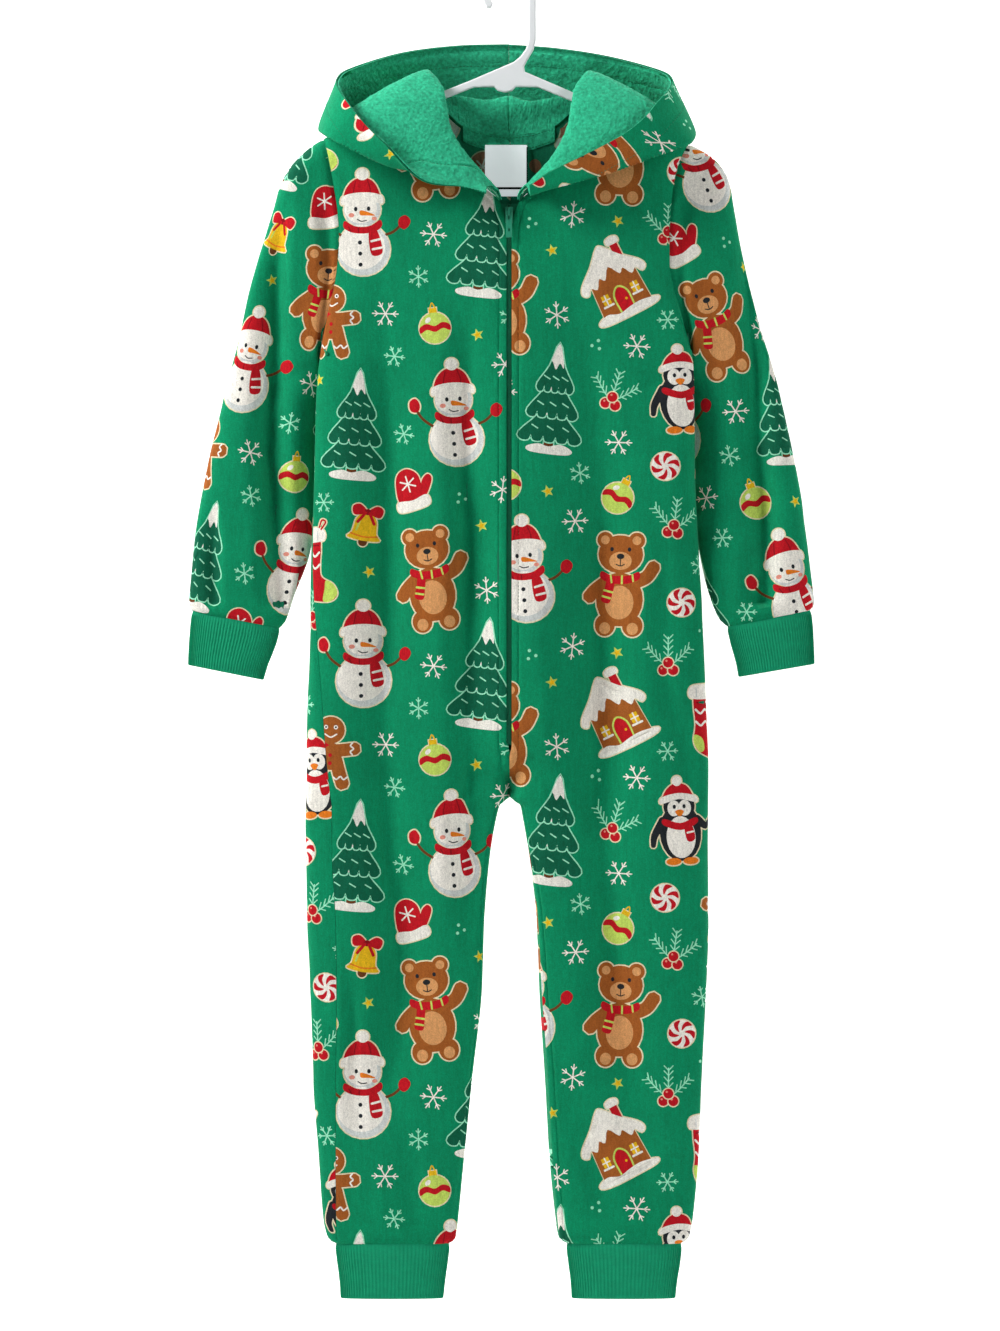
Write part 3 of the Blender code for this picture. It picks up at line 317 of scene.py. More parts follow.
def half_ring(side, r, face):
    """One face of the body at row r, from the outline in to the inner line."""
    row = dict(zip(BODY_COLUMNS, BODY[side](r)))
    inner = ("front_x", "front_drop") if face < 0 else ("back_x", "back_drop")
    u = 0.5 + 0.5 * np.cos(np.linspace(0, pi, 121))
    x = row[inner[0]] + (row["out_x"] - row[inner[0]]) * u
    drop = row[inner[1]] + (row["out_drop"] - row[inner[1]]) * u
    n = BODY_POWER
    out_edge = ARMHOLE_SHARE * max(1 - (r / UNDERARM_ROW) ** 3, 0.0) ** 0.5
    outer = np.maximum(1 - (1 - out_edge ** n) * u ** n, 0) ** (1 / n)
    inward = np.maximum(1 - (1 - max(row["in_edge"], 0) ** n) * (1 - u) ** n, 0) ** (1 / n)
    ridge = (1 - (1 - min(r / RIDGE_ROWS, 1.0)) ** 2) ** 0.5
    y = row["depth"] * ridge * outer * inward + SEAM / 2 * max(1 - r / 2, 0.0)
    points = np.stack([x, drop, face * y], -1)
    return points, run_length(points), row


def body_points(side, r, along):
    """Places at distances along the ring from the outline: to the front positive."""
    front, front_length = half_ring(side, r, -1)[:2]
    back, back_length = half_ring(side, r, 1)[:2]
    along = np.asarray(along, float)
    on_front = walk(front, front_length, along)
    past_front = walk(back, back_length, back_length[-1] - (along - front_length[-1]))
    on_back = walk(back, back_length, -along)
    past_back = walk(front, front_length, front_length[-1] - (-along - back_length[-1]))
    out = np.where((along >= 0)[:, None], on_front, on_back)
    out = np.where((along > front_length[-1])[:, None], past_front, out)
    return np.where((-along > back_length[-1])[:, None], past_back, out)


def body_span(side, r, face):
    """Where a panel starts and ends along the ring at row r."""
    length, row = half_ring(side, r, face)[1:]
    gap = SEAM / 2
    if face < 0:
        return row["side_wrap"] + gap, length[-1] - row["inseam_wrap"] - gap
    return row["side_wrap"] - gap, -length[-1] - row["inseam_wrap"] + gap


def stretched(side, r, other, along):
    """The distances along another row that match along at row r."""
    share = [half_ring(side, other, way)[1][-1] / half_ring(side, r, way)[1][-1]
             for way in (-1, 1)]
    return np.where(along >= 0, along * share[0], along * share[1])


def bisected(points, axis, closed):
    """The directions of a grid's lines at its points, each side weighing the same."""
    step = unit(np.roll(points, -1, axis=axis) - points)
    before = np.roll(step, 1, axis=axis)
    if not closed:
        first = [slice(None)] * 2
        last = [slice(None)] * 2
        first[axis] = 0
        last[axis] = -1
        before[tuple(first)] = step[tuple(first)]
        step[tuple(last)] = before[tuple(last)]
    return step + before


def grid_normals(points, closed=False):
    """Unit normals of a grid of points; a closed grid runs round a tube."""
    return unit(np.cross(bisected(points, 0, False), bisected(points, 1, closed)))


def armhole(side, face, count=41):
    """The body's armhole edge from the underarm up to the shoulder, by length."""
    rows = np.linspace(UNDERARM_ROW, 0.0, 161)
    edge = np.array([half_ring(side, r, face)[0][0] for r in rows])
    length = run_length(edge)
    return walk(edge, length / length[-1], np.linspace(0, 1, count))


ARMHOLES = {(side, face): armhole(side, face) for side in SLEEVES for face in (-1, 1)}


def sleeve_point(side, s, w):
    """A sleeve's outer surface at ring s, w once round from the underarm by the front."""
    row = dict(zip(SLEEVE_COLUMNS, SLEEVE[side](s)))
    w = w % 1.0
    face = -1 if w < 0.5 else 1
    u = 2 * w if w < 0.5 else 2 - 2 * w
    arm = ARMHOLES[(side, face)]
    edge = walk(arm, np.linspace(0, 1, len(arm)), u)
    straight = arm[0] + (arm[-1] - arm[0]) * u
    v = 0.5 - 0.5 * cos(pi * u)
    spread = u + (v - u) * (1 - row["armhole"])
    x = row["in_x"] + (row["out_x"] - row["in_x"]) * spread
    drop = row["in_drop"] + (row["out_drop"] - row["in_drop"]) * spread
    x += (edge[0] - straight[0]) * row["armhole"]
    drop += (edge[1] - straight[1]) * row["armhole"]
    bulge = max(1 - abs(2 * spread - 1) ** SLEEVE_POWER, 0) ** (1 / SLEEVE_POWER)
    own = row["in_y"] + (row["out_y"] - row["in_y"]) * spread + face * row["depth"] * bulge
    y = own + (edge[2] - own) * row["armhole"] ** 1.5
    return np.array([x, drop, y])


def neck_point(side, q):
    """The middle of the body's wall at the neck, beside row q (negative on the back)."""
    face = -1 if q >= 0 else 1
    x, drop, y = half_ring(side, abs(q), face)[0][-1]
    lean = min(abs(q) / 0.9, 1.0)
    return np.array([ZIP_X + (x - ZIP_X) * 0.98, drop - 1.8, y - face * WALL / 2 * lean])


def hood_grid(side, stations, lines):
    """The middle surface of the hood at stations by lines."""
    table = HOODS[side]
    by_line = [catmull([row[k] for row in table]) for k in range(1, len(HOOD_LINES) + 1)]
    neck_rows = smooth([row[0] for row in table])
    grid = []
    for q in stations:
        start = neck_point(side, neck_rows(q))
        across = catmull([start] + [line(q) for line in by_line])
        grid.append([across(p) for p in lines])
    return np.array(grid)


def surface_y(side, face, x, drop):
    """How far the body's face lies from the middle plane at x, drop."""
    low = 0.0
    high = len(BODY_ROWS[side]) - 1.0
    for _ in range(40):
        r = (low + high) / 2
        points = half_ring(side, r, face)[0]
        order = np.argsort(points[:, 0])
        at_x = np.interp(x, points[order, 0], points[order, 1])
        if at_x < drop:
            low = r
        else:
            high = r
    return np.interp(x, points[order, 0], points[order, 2])


def behind_zip(x, drop):
    """How deep the zip's tape lies behind the fronts, beside x."""
    side = "right" if x < ZIP_X else "left"
    edge = ZIP_X + (-9.0 if side == "right" else 9.0)
    return surface_y(side, -1, edge, drop) + WALL + 0.45


def inside_back(x, drop):
    """How deep the back's inner face lies."""
    side = "right" if x < ZIP_X else "left"
    return surface_y(side, 1, x, drop) - WALL - 0.4


# The panels that reach round the side, and round the inseam, to the other face.
WRAPS_SIDE = {("right", 1), ("left", -1)}
WRAPS_INSEAM = {("left", 1)}


# ---------------------------------------------------------------- the print
COLOURS = {
    "ground": (4, 136, 92), "snow": (236, 232, 222), "shade": (203, 207, 204), "cream": (226, 214, 178),
    "red": (188, 20, 32), "deep_red": (138, 14, 26), "pink": (224, 142, 124), "black": (34, 38, 42),
    "brown": (158, 88, 36), "dark_brown": (104, 58, 28), "tan": (212, 152, 96), "orange": (226, 122, 32),
    "yellow": (226, 180, 28), "lime": (190, 214, 96), "mint": (150, 226, 190), "fir": (10, 96, 68),
    "inside": (22, 118, 86),
}
COLOUR_NAMES = list(COLOURS)       # the print's own, by number
# Colours of the other cloths and parts; the label's dark one is painted shadow, not a bound edge.
COLOURS.update(pile=(48, 180, 136), rib=(16, 149, 106), plastic=(236, 238, 240), enamel=(44, 150, 116),
               tape=(16, 128, 92), satin=(244, 247, 248), thread=(8, 118, 82), dark_edge=(24, 30, 30))
THROUGH = 0.42         # how much of the print shows on the cloth's inner side


def linear(name):
    """A colour's linear red, green and blue."""
    c = np.array(COLOURS[name]) / 255.0
    return np.where(c <= 0.04045, c / 12.92, ((c + 0.055) / 1.055) ** 2.4)


def oval(x, y, rx, ry=None, turn=0.0, count=22):
    """An oval outline about x, y."""
    ry = rx if ry is None else ry
    t = np.linspace(0, 2 * pi, count, endpoint=False)
    a, b = rx * np.cos(t), ry * np.sin(t)
    return np.stack([x + a * cos(turn) - b * sin(turn), y + a * sin(turn) + b * cos(turn)], -1)


def pair(colour, x, *size, **count):
    """Two ovals, one to each side of the middle."""
    return [(colour, oval(way * x, *size, **count)) for way in (-1, 1)]


def blob(*points, steps=4):
    """A smooth closed outline through points."""
    p = np.array(points, float)
    n = len(p)
    out = []
    for i in range(n):
        a, b, c, d = p[i - 1], p[i], p[(i + 1) % n], p[(i + 2) % n]
        for t in np.arange(steps) / steps:
            out.append(0.5 * (2 * b + (c - a) * t + (2 * a - 5 * b + 4 * c - d) * t ** 2
                              + (3 * b - a - 3 * c + d) * t ** 3))
    return np.array(out)


def poly(*points):
    return np.array(points, float)


def line(points, width, curved=True, steps=5):
    """A stroke with round ends along points; width may be one number or one for each end."""
    p = np.array(points, float)
    if curved and len(p) > 2:
        at = catmull(p)
        p = np.array([at(q) for q in np.linspace(0, len(p) - 1, (len(p) - 1) * steps + 1)])
    wide = np.linspace(*(width if hasattr(width, "__len__") else (width, width)), len(p)) / 2
    go = np.gradient(p, axis=0)
    go /= np.maximum(np.hypot(*go.T), 1e-6)[:, None]
    side = np.stack([-go[:, 1], go[:, 0]], -1) * wide[:, None]
    left, right = p + side, p - side
    caps = []
    for end, way in ((len(p) - 1, 1), (0, -1)):
        turn = atan2(go[end, 1] * way, go[end, 0] * way)
        t = turn + np.array([pi / 2.6, pi / 6, -pi / 6, -pi / 2.6])
        caps.append(p[end] + wide[end] * np.stack([np.cos(t), np.sin(t)], -1))
    return np.concatenate([left, caps[0], right[::-1], caps[1]])


def strokes(colour, width, *paths):
    """Several strokes of one colour and width."""
    return [(colour, line(path, width)) for path in paths]


def mirrored(colour, width, path):
    """A stroke and its mirror image, the one on the left first."""
    return strokes(colour, width, [(-x, y) for x, y in path], path)


def star(x, y, outer, inner, count):
    t = -pi / 2 + pi * np.arange(2 * count) / count
    r = np.where(np.arange(2 * count) % 2 == 0, outer, inner)
    return np.stack([x + r * np.cos(t), y + r * np.sin(t)], -1)


def grown(shape, by):
    """An outline moved outward."""
    ahead = np.roll(shape, -1, 0) - np.roll(shape, 1, 0)
    ahead /= np.maximum(np.hypot(*ahead.T), 1e-6)[:, None]
    way = np.stack([ahead[:, 1], -ahead[:, 0]], -1)
    x, y = shape.T
    area = np.sum(x * np.roll(y, -1) - np.roll(x, -1) * y)
    return shape + way * by * (1 if area > 0 else -1)


def keyed(parts, keys, colour="cream", by=1.5):
    """A motif with a pale line round the parts whose numbers are in keys."""
    return [(colour, grown(parts[k][1], by)) for k in keys] + parts


def snowman():
    parts = [
        *strokes("dark_brown", 2.6, [(-20, 14), (-32, 4), (-39, -8)], [(20, 14), (31, 10), (40, 2)]),
        ("shade", oval(0, 27, 27, 26)), ("shade", oval(0, -13, 18.5, 17.5)),
        ("snow", oval(-2, 24.5, 24, 22.5)), ("snow", oval(-1.5, -14.5, 16.5, 15.5)),
        ("red", blob((-18, -20), (-16.5, -33), (-7, -43), (6, -44), (15, -36), (18, -21), (0, -26))),
        *strokes("deep_red", 1.2, [(-6, -41), (-8, -33), (-8.5, -26)], [(6, -42), (8.5, -34), (9, -26)]),
        ("snow", blob((-20.5, -18), (-20, -26), (-8, -29.5), (8, -29.5), (20, -26), (20.5, -18), (8, -21),
                      (-8, -21))),
        ("snow", oval(1, -48, 6.4, 6)), *pair("black", 6.5, -13.5, 1.8, 2.3, count=10),
        ("orange", blob((-2, -12), (5, -10.5), (13, -6.5), (5, -6.8), (-2, -7.4))),
        ("pink", oval(-11, -7.5, 3, 2.2, count=12)), ("pink", oval(12, -3.5, 2.6, 2, count=12)),
        ("black", line([(-5, -3.2), (-1, -1.2), (4, -1.8)], 1.1)),
        ("red", blob((-18, -2), (-9, 3), (0, 4.5), (9, 3), (18, -2), (19, 5), (9, 10.5), (-8, 10.5),
                     (-19, 5))),
        ("red", blob((7, 6), (14, 8), (18, 19), (19, 31), (9, 33), (6, 20))),
        *strokes("snow", 2.2, [(8.5, 19), (17.5, 17)], [(9.5, 27), (18.5, 25.5)]),
        *strokes("deep_red", 1.3, [(-14, 4), (-12, 9)], [(-4, 5.5), (-4, 10)]),
        *[("black", oval(-3, y, 2.1, count=10)) for y in (20, 31, 42)],
        ("red", blob((-44, -6), (-44, -14), (-38, -17), (-34, -11), (-35, -5), (-39, -3))),
        ("red", blob((36, 4), (37, -3), (43, -6), (48, -1), (46, 5), (41, 8))),
    ]
    return keyed(parts, (2, 3, 6, 9, 10, 25, 26), by=1.4)


def bear():
    parts = [
        *pair("brown", 15.5, -42, 8, 8),
        *strokes("brown", 13, [(-14, 0), (-24, 8), (-30, 15)], [(14, 0), (26, -6), (33, -16)]),
        *pair("brown", 13.5, 43, 10, 11), ("brown", oval(0, 17, 23, 27)), ("brown", oval(0, -28, 22, 19)),
        *pair("tan", 15.5, -42, 4.4, 4.4), ("tan", oval(0, 20, 14, 17)), ("tan", oval(0, -21.5, 11, 9)),
        *pair("tan", 13.5, 46, 5.6, 6),
        ("black", oval(0, -26, 3.8, 2.8, count=12)), *pair("black", 8.5, -33, 1.8, 2.2, count=10),
        ("black", line([(-4, -18), (0, -16.5), (4, -18)], 1.1)), ("black", line([(0, -23), (0, -17)], 1.0)),
        ("red", blob((-18, -11), (-8, -7), (8, -7), (18, -11), (19, -4), (8, 1), (-8, 1), (-19, -4))),
        ("red", blob((-12, -3), (-5, -1), (-7, 12), (-10, 21), (-18, 18), (-15, 8))),
        *strokes("lime", 2, [(-15, 8), (-7, 10)], [(-16.5, 14), (-9, 16)]),
        *strokes("lime", 1.8, [(-9, -7), (-8, 0)], [(2, -6.5), (2, 1)], [(12, -8), (13, -1.5)]),
    ]
    return keyed(parts, range(8), by=1.4)


def penguin():
    parts = [
        ("black", oval(0, 8, 21, 29)), ("black", oval(0, -18, 16, 15)),
        *strokes("black", (9, 5), [(-17, -4), (-26, 10), (-28, 20)], [(17, -4), (27, 3), (33, -3)]),
        ("snow", oval(0, 13, 14.5, 21)), *pair("snow", 5.5, -16, 6.5, 8), *pair("black", 5, -17.5, 1.7, 2.2, count=10),
        ("orange", blob((-4.5, -12.5), (0, -14.5), (4.5, -12.5), (0, -7.5))), *pair("orange", 8.5, 37, 7.5, 3.6),
        ("red", blob((-16, -24), (-13, -34), (-3, -41), (9, -38), (15, -28), (16, -23), (0, -28))),
        ("snow", blob((-18, -21), (-17, -27.5), (0, -31), (17, -27.5), (18, -21), (0, -25))),
        ("snow", oval(-1, -43, 5, 5)),
        ("red", blob((-16, -6), (0, -1), (16, -6), (17, 0), (0, 6), (-17, 0))),
        ("red", blob((4, 0), (11, 0), (14, 15), (6, 17))), ("snow", line([(6.5, 9), (12.5, 8)], 1.8)),
    ]
    return keyed(parts, (0, 1, 2, 3, 10, 11, 12, 13, 14), by=1.3)


def fir():
    """A snow-laden tree of three rounded tiers."""
    parts = [("dark_brown", poly((-4.5, 38), (4.5, 38), (5, 51), (-5, 51)))]
    keys = []
    n = 5              # scallops along a tier
    for top, end, half in ((-2, 42, 31), (-28, 18, 25), (-50, -8, 18)):
        edge = [(0, top - 6), (half * 0.42, top + (end - top) * 0.42), (half, end - 6)]
        for k in range(n):
            x = half - 2 * half * (k + 0.5) / n
            edge += [(x + half / n * 0.6, end + 1.2), (x - half / n * 0.6, end + 1.2)]
            if k < n - 1:
                edge += [(half - 2 * half * (k + 1) / n, end - 4)]
        edge += [(-half, end - 6), (-half * 0.42, top + (end - top) * 0.42)]
        parts.append(("fir", blob(*edge, steps=3)))
        keys.append(len(parts) - 1)
        parts.append(("snow", blob((0, top - 5), (half * 0.30, top + (end - top) * 0.24),
                                   (half * 0.36, top + (end - top) * 0.46), (half * 0.12, top + (end - top) * 0.34),
                                   (-half * 0.06, top + (end - top) * 0.50), (-half * 0.26, top + (end - top) * 0.34),
                                   (-half * 0.34, top + (end - top) * 0.26), steps=3)))
        for k in range(-1, 2):
            parts.append(("mint", line([(k * half * 0.5 - 3, end - 14), (k * half * 0.5 + 3, end - 11)], 1.3)))
    out = [("mint", grown(parts[0][1], 1.4))]
    for k, part in enumerate(parts):
        if k in keys:
            out.append(("mint", grown(part[1], 1.3)))
        out.append(part)
    return out + [("snow", blob((-22, 50), (-10, 46), (0, 48), (12, 45), (24, 50), (18, 55), (-16, 55)))]


def cottage():
    parts = [
        ("brown", poly((-24, -6), (24, -6), (26, 32), (-26, 32))),
        ("brown", poly((-26, -5), (0, -31), (26, -5))),
        ("red", poly((11, -36), (19, -36), (19, -14), (11, -22))),
        ("snow", blob((9, -34), (9, -39), (15, -41), (21, -39), (21, -34), (15, -33))),
        ("snow", blob((-35, -1), (-31, -9), (-16, -22), (-3, -36), (3, -36), (16, -22), (31, -9), (35, -1),
                      (30, 3), (25, -3), (19, 1), (13, -8), (8, -4), (0, -15), (-8, -4), (-13, -8), (-19, 1),
                      (-25, -3), (-30, 3), steps=3)),
        ("red", blob((-6, 31), (-6, 14), (0, 8), (6, 14), (6, 31))), ("yellow", oval(3, 21, 1.3, count=8)),
        ("lime", line([(-7.5, 31), (-7.5, 14), (0, 6.5), (7.5, 14), (7.5, 31)], 1.8)),
        ("yellow", poly((-20, 9), (-12, 9), (-12, 19), (-20, 19))),
        ("yellow", poly((12, 9), (20, 9), (20, 19), (12, 19))),
        *strokes("snow", 1.3, [(-16, 9), (-16, 19)], [(-20, 14), (-12, 14)], [(16, 9), (16, 19)],
                 [(12, 14), (20, 14)]),
        *strokes("snow", 2.2, [(-21, 20.5), (-11, 20.5)], [(11, 20.5), (21, 20.5)]),
        ("snow", blob((-33, 33), (-22, 28), (-10, 32), (2, 30), (16, 29), (33, 33), (24, 38), (-24, 38))),
    ]
    return keyed(parts, (0, 2, 3, 4, 16), by=1.3)


def stocking():
    parts = [
        ("red", blob((-12, -30), (12, -30), (12, 0), (14, 10), (25, 17), (29, 27), (22, 34), (4, 33),
                     (-9, 27), (-14, 16), (-12, 0))),
        ("lime", blob((18, 13), (26, 18), (29, 27), (22, 34), (14, 33.5), (16, 22))),
        ("lime", blob((-13, 10), (-5, 14), (-3, 24), (-8, 27.5), (-14, 18))),
        ("snow", blob((-16, -38), (0, -40), (16, -38), (17, -27), (0, -25), (-17, -27))),
        *strokes("snow", 2.2, [(-11.5, -15), (-6, -11), (0, -15), (6, -11), (11.5, -15)],
                 [(-11.5, -3), (-6, 1), (0, -3), (6, 1), (12, -3)]),
        ("deep_red", line([(-10, -22), (11, -22)], 1.4)),
        ("red", line([(14, -38), (19, -45), (15, -47), (12, -40)], 1.8)),
        *strokes("shade", 1, [(-10, -36), (-10, -28)], [(0, -37), (0, -27)], [(10, -36), (10, -28)]),
    ]
    return keyed(parts, (0, 3, 7), by=1.3)


def ginger():
    parts = [
        ("brown", line([(-24, -4), (-8, -2), (8, -2), (24, -4)], 12.5)),
        *mirrored("brown", 13, [(6, 8), (10, 22), (13, 31)]),
        ("brown", oval(0, 4, 11.5, 14)), ("brown", oval(0, -22, 14, 13.5)),
        *mirrored("snow", 1.6, [(22, -10), (20, -7), (23, -4), (20, -1), (22, 2)]),
        *mirrored("snow", 1.6, [(18, 24), (14, 27), (11, 24), (7, 27), (4, 25)]),
        *pair("snow", 5, -25, 2.2, count=10), *pair("black", 5, -25, 1.1, count=8),
        ("snow", line([(-6, -18), (0, -15), (6, -18)], 1.5)),
        ("red", blob((-8, -11), (0, -7), (8, -11), (8, -3), (0, -7), (-8, -3))),
        ("red", oval(0, 3, 2, count=10)), ("red", oval(0, 11, 2, count=10)),
    ]
    return keyed(parts, range(5), by=1.3)


def mitten():
    parts = [
        ("red", blob((-12, 12), (-13, -4), (-8, -17), (3, -20), (12, -12), (13, 2), (12, 12))),
        ("red", blob((10, 6), (15, -5), (22, -9), (25, -4), (20, 5), (13, 12))),
        ("snow", blob((-15, 10), (0, 12), (15, 10), (16, 20), (0, 22), (-16, 20))),
        *strokes("snow", 1.5, [(0, -13), (0, 3)], [(-7, -9), (7, -1)], [(7, -9), (-7, -1)]),
    ]
    return keyed(parts, (0, 1, 2), by=1.2)


def bell():
    parts = [
        ("dark_brown", oval(0, 16, 4.4)),
        ("yellow", blob((-16, 13), (-12, 7), (-10, -6), (-4, -13), (4, -13), (10, -6), (12, 7), (16, 13), (0, 15))),
        ("lime", line([(-6, -5), (-8, 5)], 2)), ("orange", line([(-13, 9), (0, 11), (13, 9)], 1.6)),
        ("red", blob((0, -14), (-8, -21), (-15, -18), (-13, -10), (-5, -11))),
        ("red", blob((0, -14), (8, -21), (15, -18), (13, -10), (5, -11))),
        ("deep_red", oval(0, -14, 3.2, count=12)),
        *mirrored("red", 3, [(2, -13), (8, -3)]),
    ]
    return keyed(parts, (0, 1, 4, 5), by=1.2)


def bauble():
    parts = [
        ("yellow", poly((-4, -17), (4, -17), (4, -11), (-4, -11))),
        ("lime", oval(0, 3, 15.5)),
        ("red", blob((-15, 1), (-8, -2), (0, 1), (8, -2), (15, 1), (15, 7), (8, 4), (0, 7), (-8, 4), (-15, 7))),
        ("snow", oval(-6, -5.5, 3.4, 2.2, -0.7)), ("yellow", line([(-2.5, -17), (0, -22), (2.5, -17)], 1.3)),
    ]
    return keyed(parts, (0, 1), by=1.2)


def wheel():
    """A round peppermint sweet."""
    out = [("cream", oval(0, 0, 15)), ("snow", oval(0, 0, 13.8))]
    for k in range(6):
        t = k * pi / 3
        a = [(3 * cos(t + 0.2), 3 * sin(t + 0.2)), (8.5 * cos(t + 0.30), 8.5 * sin(t + 0.30)),
             (13.4 * cos(t + 0.62), 13.4 * sin(t + 0.62)), (13.4 * cos(t + 1.12), 13.4 * sin(t + 1.12)),
             (8.5 * cos(t + 0.78), 8.5 * sin(t + 0.78))]
        out.append(("red", blob(*a, steps=3)))
    return out


def sprig():
    out = []
    for turn in (-0.95, 0.0, 0.95):
        tip = (26 * sin(turn), -24 * cos(turn))
        out.append(("mint", line([(0, 6), (tip[0] * 0.5, 3 + tip[1] * 0.4), tip], 1.3)))
        for k in (0.35, 0.55, 0.75, 0.92):
            base = (tip[0] * k, 6 + (tip[1] - 6) * k)
            for way in (-0.75, 0.75):
                t = turn + way
                out.append(("mint", line([base, (base[0] + 6.5 * sin(t), base[1] - 6.5 * cos(t))], 1.1)))
    for x, y in ((-5, 9), (5, 9), (0, 1.5)):
        out += [("cream", oval(x, y, 6.2, count=16)), ("red", oval(x, y, 5, count=16)),
                ("pink", oval(x - 1.6, y - 1.8, 1.1, count=8))]
    return out


def flake(size=13.0, colour="snow"):
    out = []
    for k in range(6):
        t = k * pi / 3
        out.append((colour, line([(0, 0), (size * sin(t), -size * cos(t))], 1.25)))
        for way in (-0.7, 0.7):
            x, y = size * 0.58 * sin(t), -size * 0.58 * cos(t)
            out.append((colour, line([(x, y), (x + size * 0.3 * sin(t + way), y - size * 0.3 * cos(t + way))], 1.1)))
    return out


def frost():
    return flake(10.5, "mint")


def little_star():
    return [("lime", star(0, 0, 6.5, 2.9, 5)), ("yellow", star(0, 0, 4.2, 1.9, 5))]


def dots():
    return [("mint", oval(-4, 2, 1.7, count=10)), ("mint", oval(4, 2, 1.7, count=10)),
            ("mint", oval(0, -5, 1.7, count=10))]


# How many of each motif lie in one repeat, and the discs (x, y, radius) that keep them apart.
MOTIFS = (
    (snowman, 2, ((0, -28, 27), (0, 24, 33), (-35, -22, 10), (43, -3, 10))),
    (bear, 2, ((0, -28, 27), (0, 22, 30), (40, -16, 9), (-33, 8, 9))),
    (fir, 2, ((0, -26, 23), (0, 24, 32))), (penguin, 1, ((0, -18, 27), (0, 16, 31), (31, -2, 8))),
    (cottage, 1, ((0, 0, 40),)), (stocking, 1, ((0, -20, 23), (6, 16, 26))),
    (ginger, 1, ((0, -14, 25), (0, 16, 24))), (mitten, 1, ((3, 0, 24),)), (bell, 1, ((0, -1, 22),)),
    (bauble, 2, ((0, -2, 20),)), (wheel, 2, ((0, 0, 18),)), (sprig, 3, ((0, -4, 23),)),
    (flake, 7, ((0, 0, 15),)), (frost, 7, ((0, 0, 13),)), (little_star, 5, ((0, 0, 10),)),
    (dots, 3, ((0, 0, 9),)),
)
TILE = np.array([330.0, 430.0])    # one repeat, in millimetres
LAYOUT_SEED = 30
LARGEST = 62                       # how far a motif reaches from its middle


def lay_out():
    """One repeat: motifs drift apart until they lie evenly, each clear of its neighbours."""
    rng = np.random.default_rng(LAYOUT_SEED)
    things = []
    for make, count, discs in MOTIFS:
        for _ in range(count):
            things.append((make, rng.uniform(-0.16, 0.16) if len(discs) > 1 else rng.uniform(-0.6, 0.6), discs))
    place = rng.uniform(0, 1, (len(things), 2)) * TILE
    owner, at, radius = [], [], []
    for n, (make, turn, discs) in enumerate(things):
        for x, y, r in discs:
            owner.append(n)
            at.append((x * cos(turn) - y * sin(turn), x * sin(turn) + y * cos(turn)))
            radius.append(r)
    owner, at, radius = np.array(owner), np.array(at), np.array(radius)
    kind = np.array([thing[0].__name__ for thing in things])[owner]
    other = owner[:, None] != owner[None, :]
    both = radius[:, None] + radius[None, :]
    alike = np.where(kind[:, None] == kind[None, :], 1.9, 1.0)
    steps = 1400
    for step in range(steps):
        # Big motifs settle first; the small ones then find the open ground.
        swell = np.where(radius < 17, 0.25 + 0.75 * min(step / (0.5 * steps), 1.0), 1.0)
        gap = alike * (1.16 * both * np.sqrt(swell[:, None] * swell[None, :]) + 16.0)
        middle = place[owner] + at
        away = middle[:, None] - middle[None, :]
        away -= np.round(away / TILE) * TILE
        dist = np.maximum(np.hypot(away[..., 0], away[..., 1]), 0.01)
        force = np.where(other & (dist < gap), (gap - dist) / gap, 0.0) ** 1.5 * gap
        hard = np.where(other & (dist < both + 3), both + 3 - dist, 0.0)
        move = np.zeros_like(place)
        push = (((force + 6 * hard) / dist)[..., None] * away).sum(1)
        np.add.at(move, owner, push / np.maximum(radius, 13)[:, None] ** 1.2)
        shake = rng.normal(0, 1, place.shape) * 5.0 * max(1 - step / (0.6 * steps), 0.0)
        place += np.clip(move * 1.6, -8, 8) + shake
    return [(make(), turn, spot % TILE) for (make, turn, discs), spot in zip(things, place)]


REPEAT = lay_out()


def printed(pattern, shift):
    """The print's outlines that may show on a pattern piece, with the repeat shifted."""
    low, high = pattern.reshape(-1, 2).min(0), pattern.reshape(-1, 2).max(0)
    shapes = []
    first = np.floor((low - shift - 70) / TILE).astype(int)
    last = np.ceil((high - shift + 70) / TILE).astype(int)
    for i in range(first[0], last[0]):
        for j in range(first[1], last[1]):
            for layers, lean, spot in REPEAT:
                middle = spot + shift + TILE * (i, j)
                if np.any(middle < low - LARGEST) or np.any(middle > high + LARGEST):
                    continue
                spin = np.array([[cos(lean), sin(lean)], [-sin(lean), cos(lean)]])
                for colour, shape in layers:
                    place = shape @ spin + middle
                    if np.all(place.max(0) > low) and np.all(place.min(0) < high):
                        shapes.append((COLOUR_NAMES.index(colour), place))
    return shapes


# ---------------------------------------------------------------- cloth shells
def noise(u, v, size, seed=0):
    """Smooth bumps from -1 to 1, about size across."""
    x, y = np.asarray(u) / size, np.asarray(v) / size
    i, j = np.floor(x), np.floor(y)
    a, b = x - i, y - j
    a, b = a * a * (3 - 2 * a), b * b * (3 - 2 * b)

    def corner(p, q):
        h = np.sin((i + p) * 127.1 + (j + q) * 311.7 + seed * 74.7) * 43758.5453
        return h - np.floor(h)
    low = corner(0, 0) * (1 - a) + corner(1, 0) * a
    high = corner(0, 1) * (1 - a) + corner(1, 1) * a
    return 2 * (low * (1 - b) + high * b) - 1


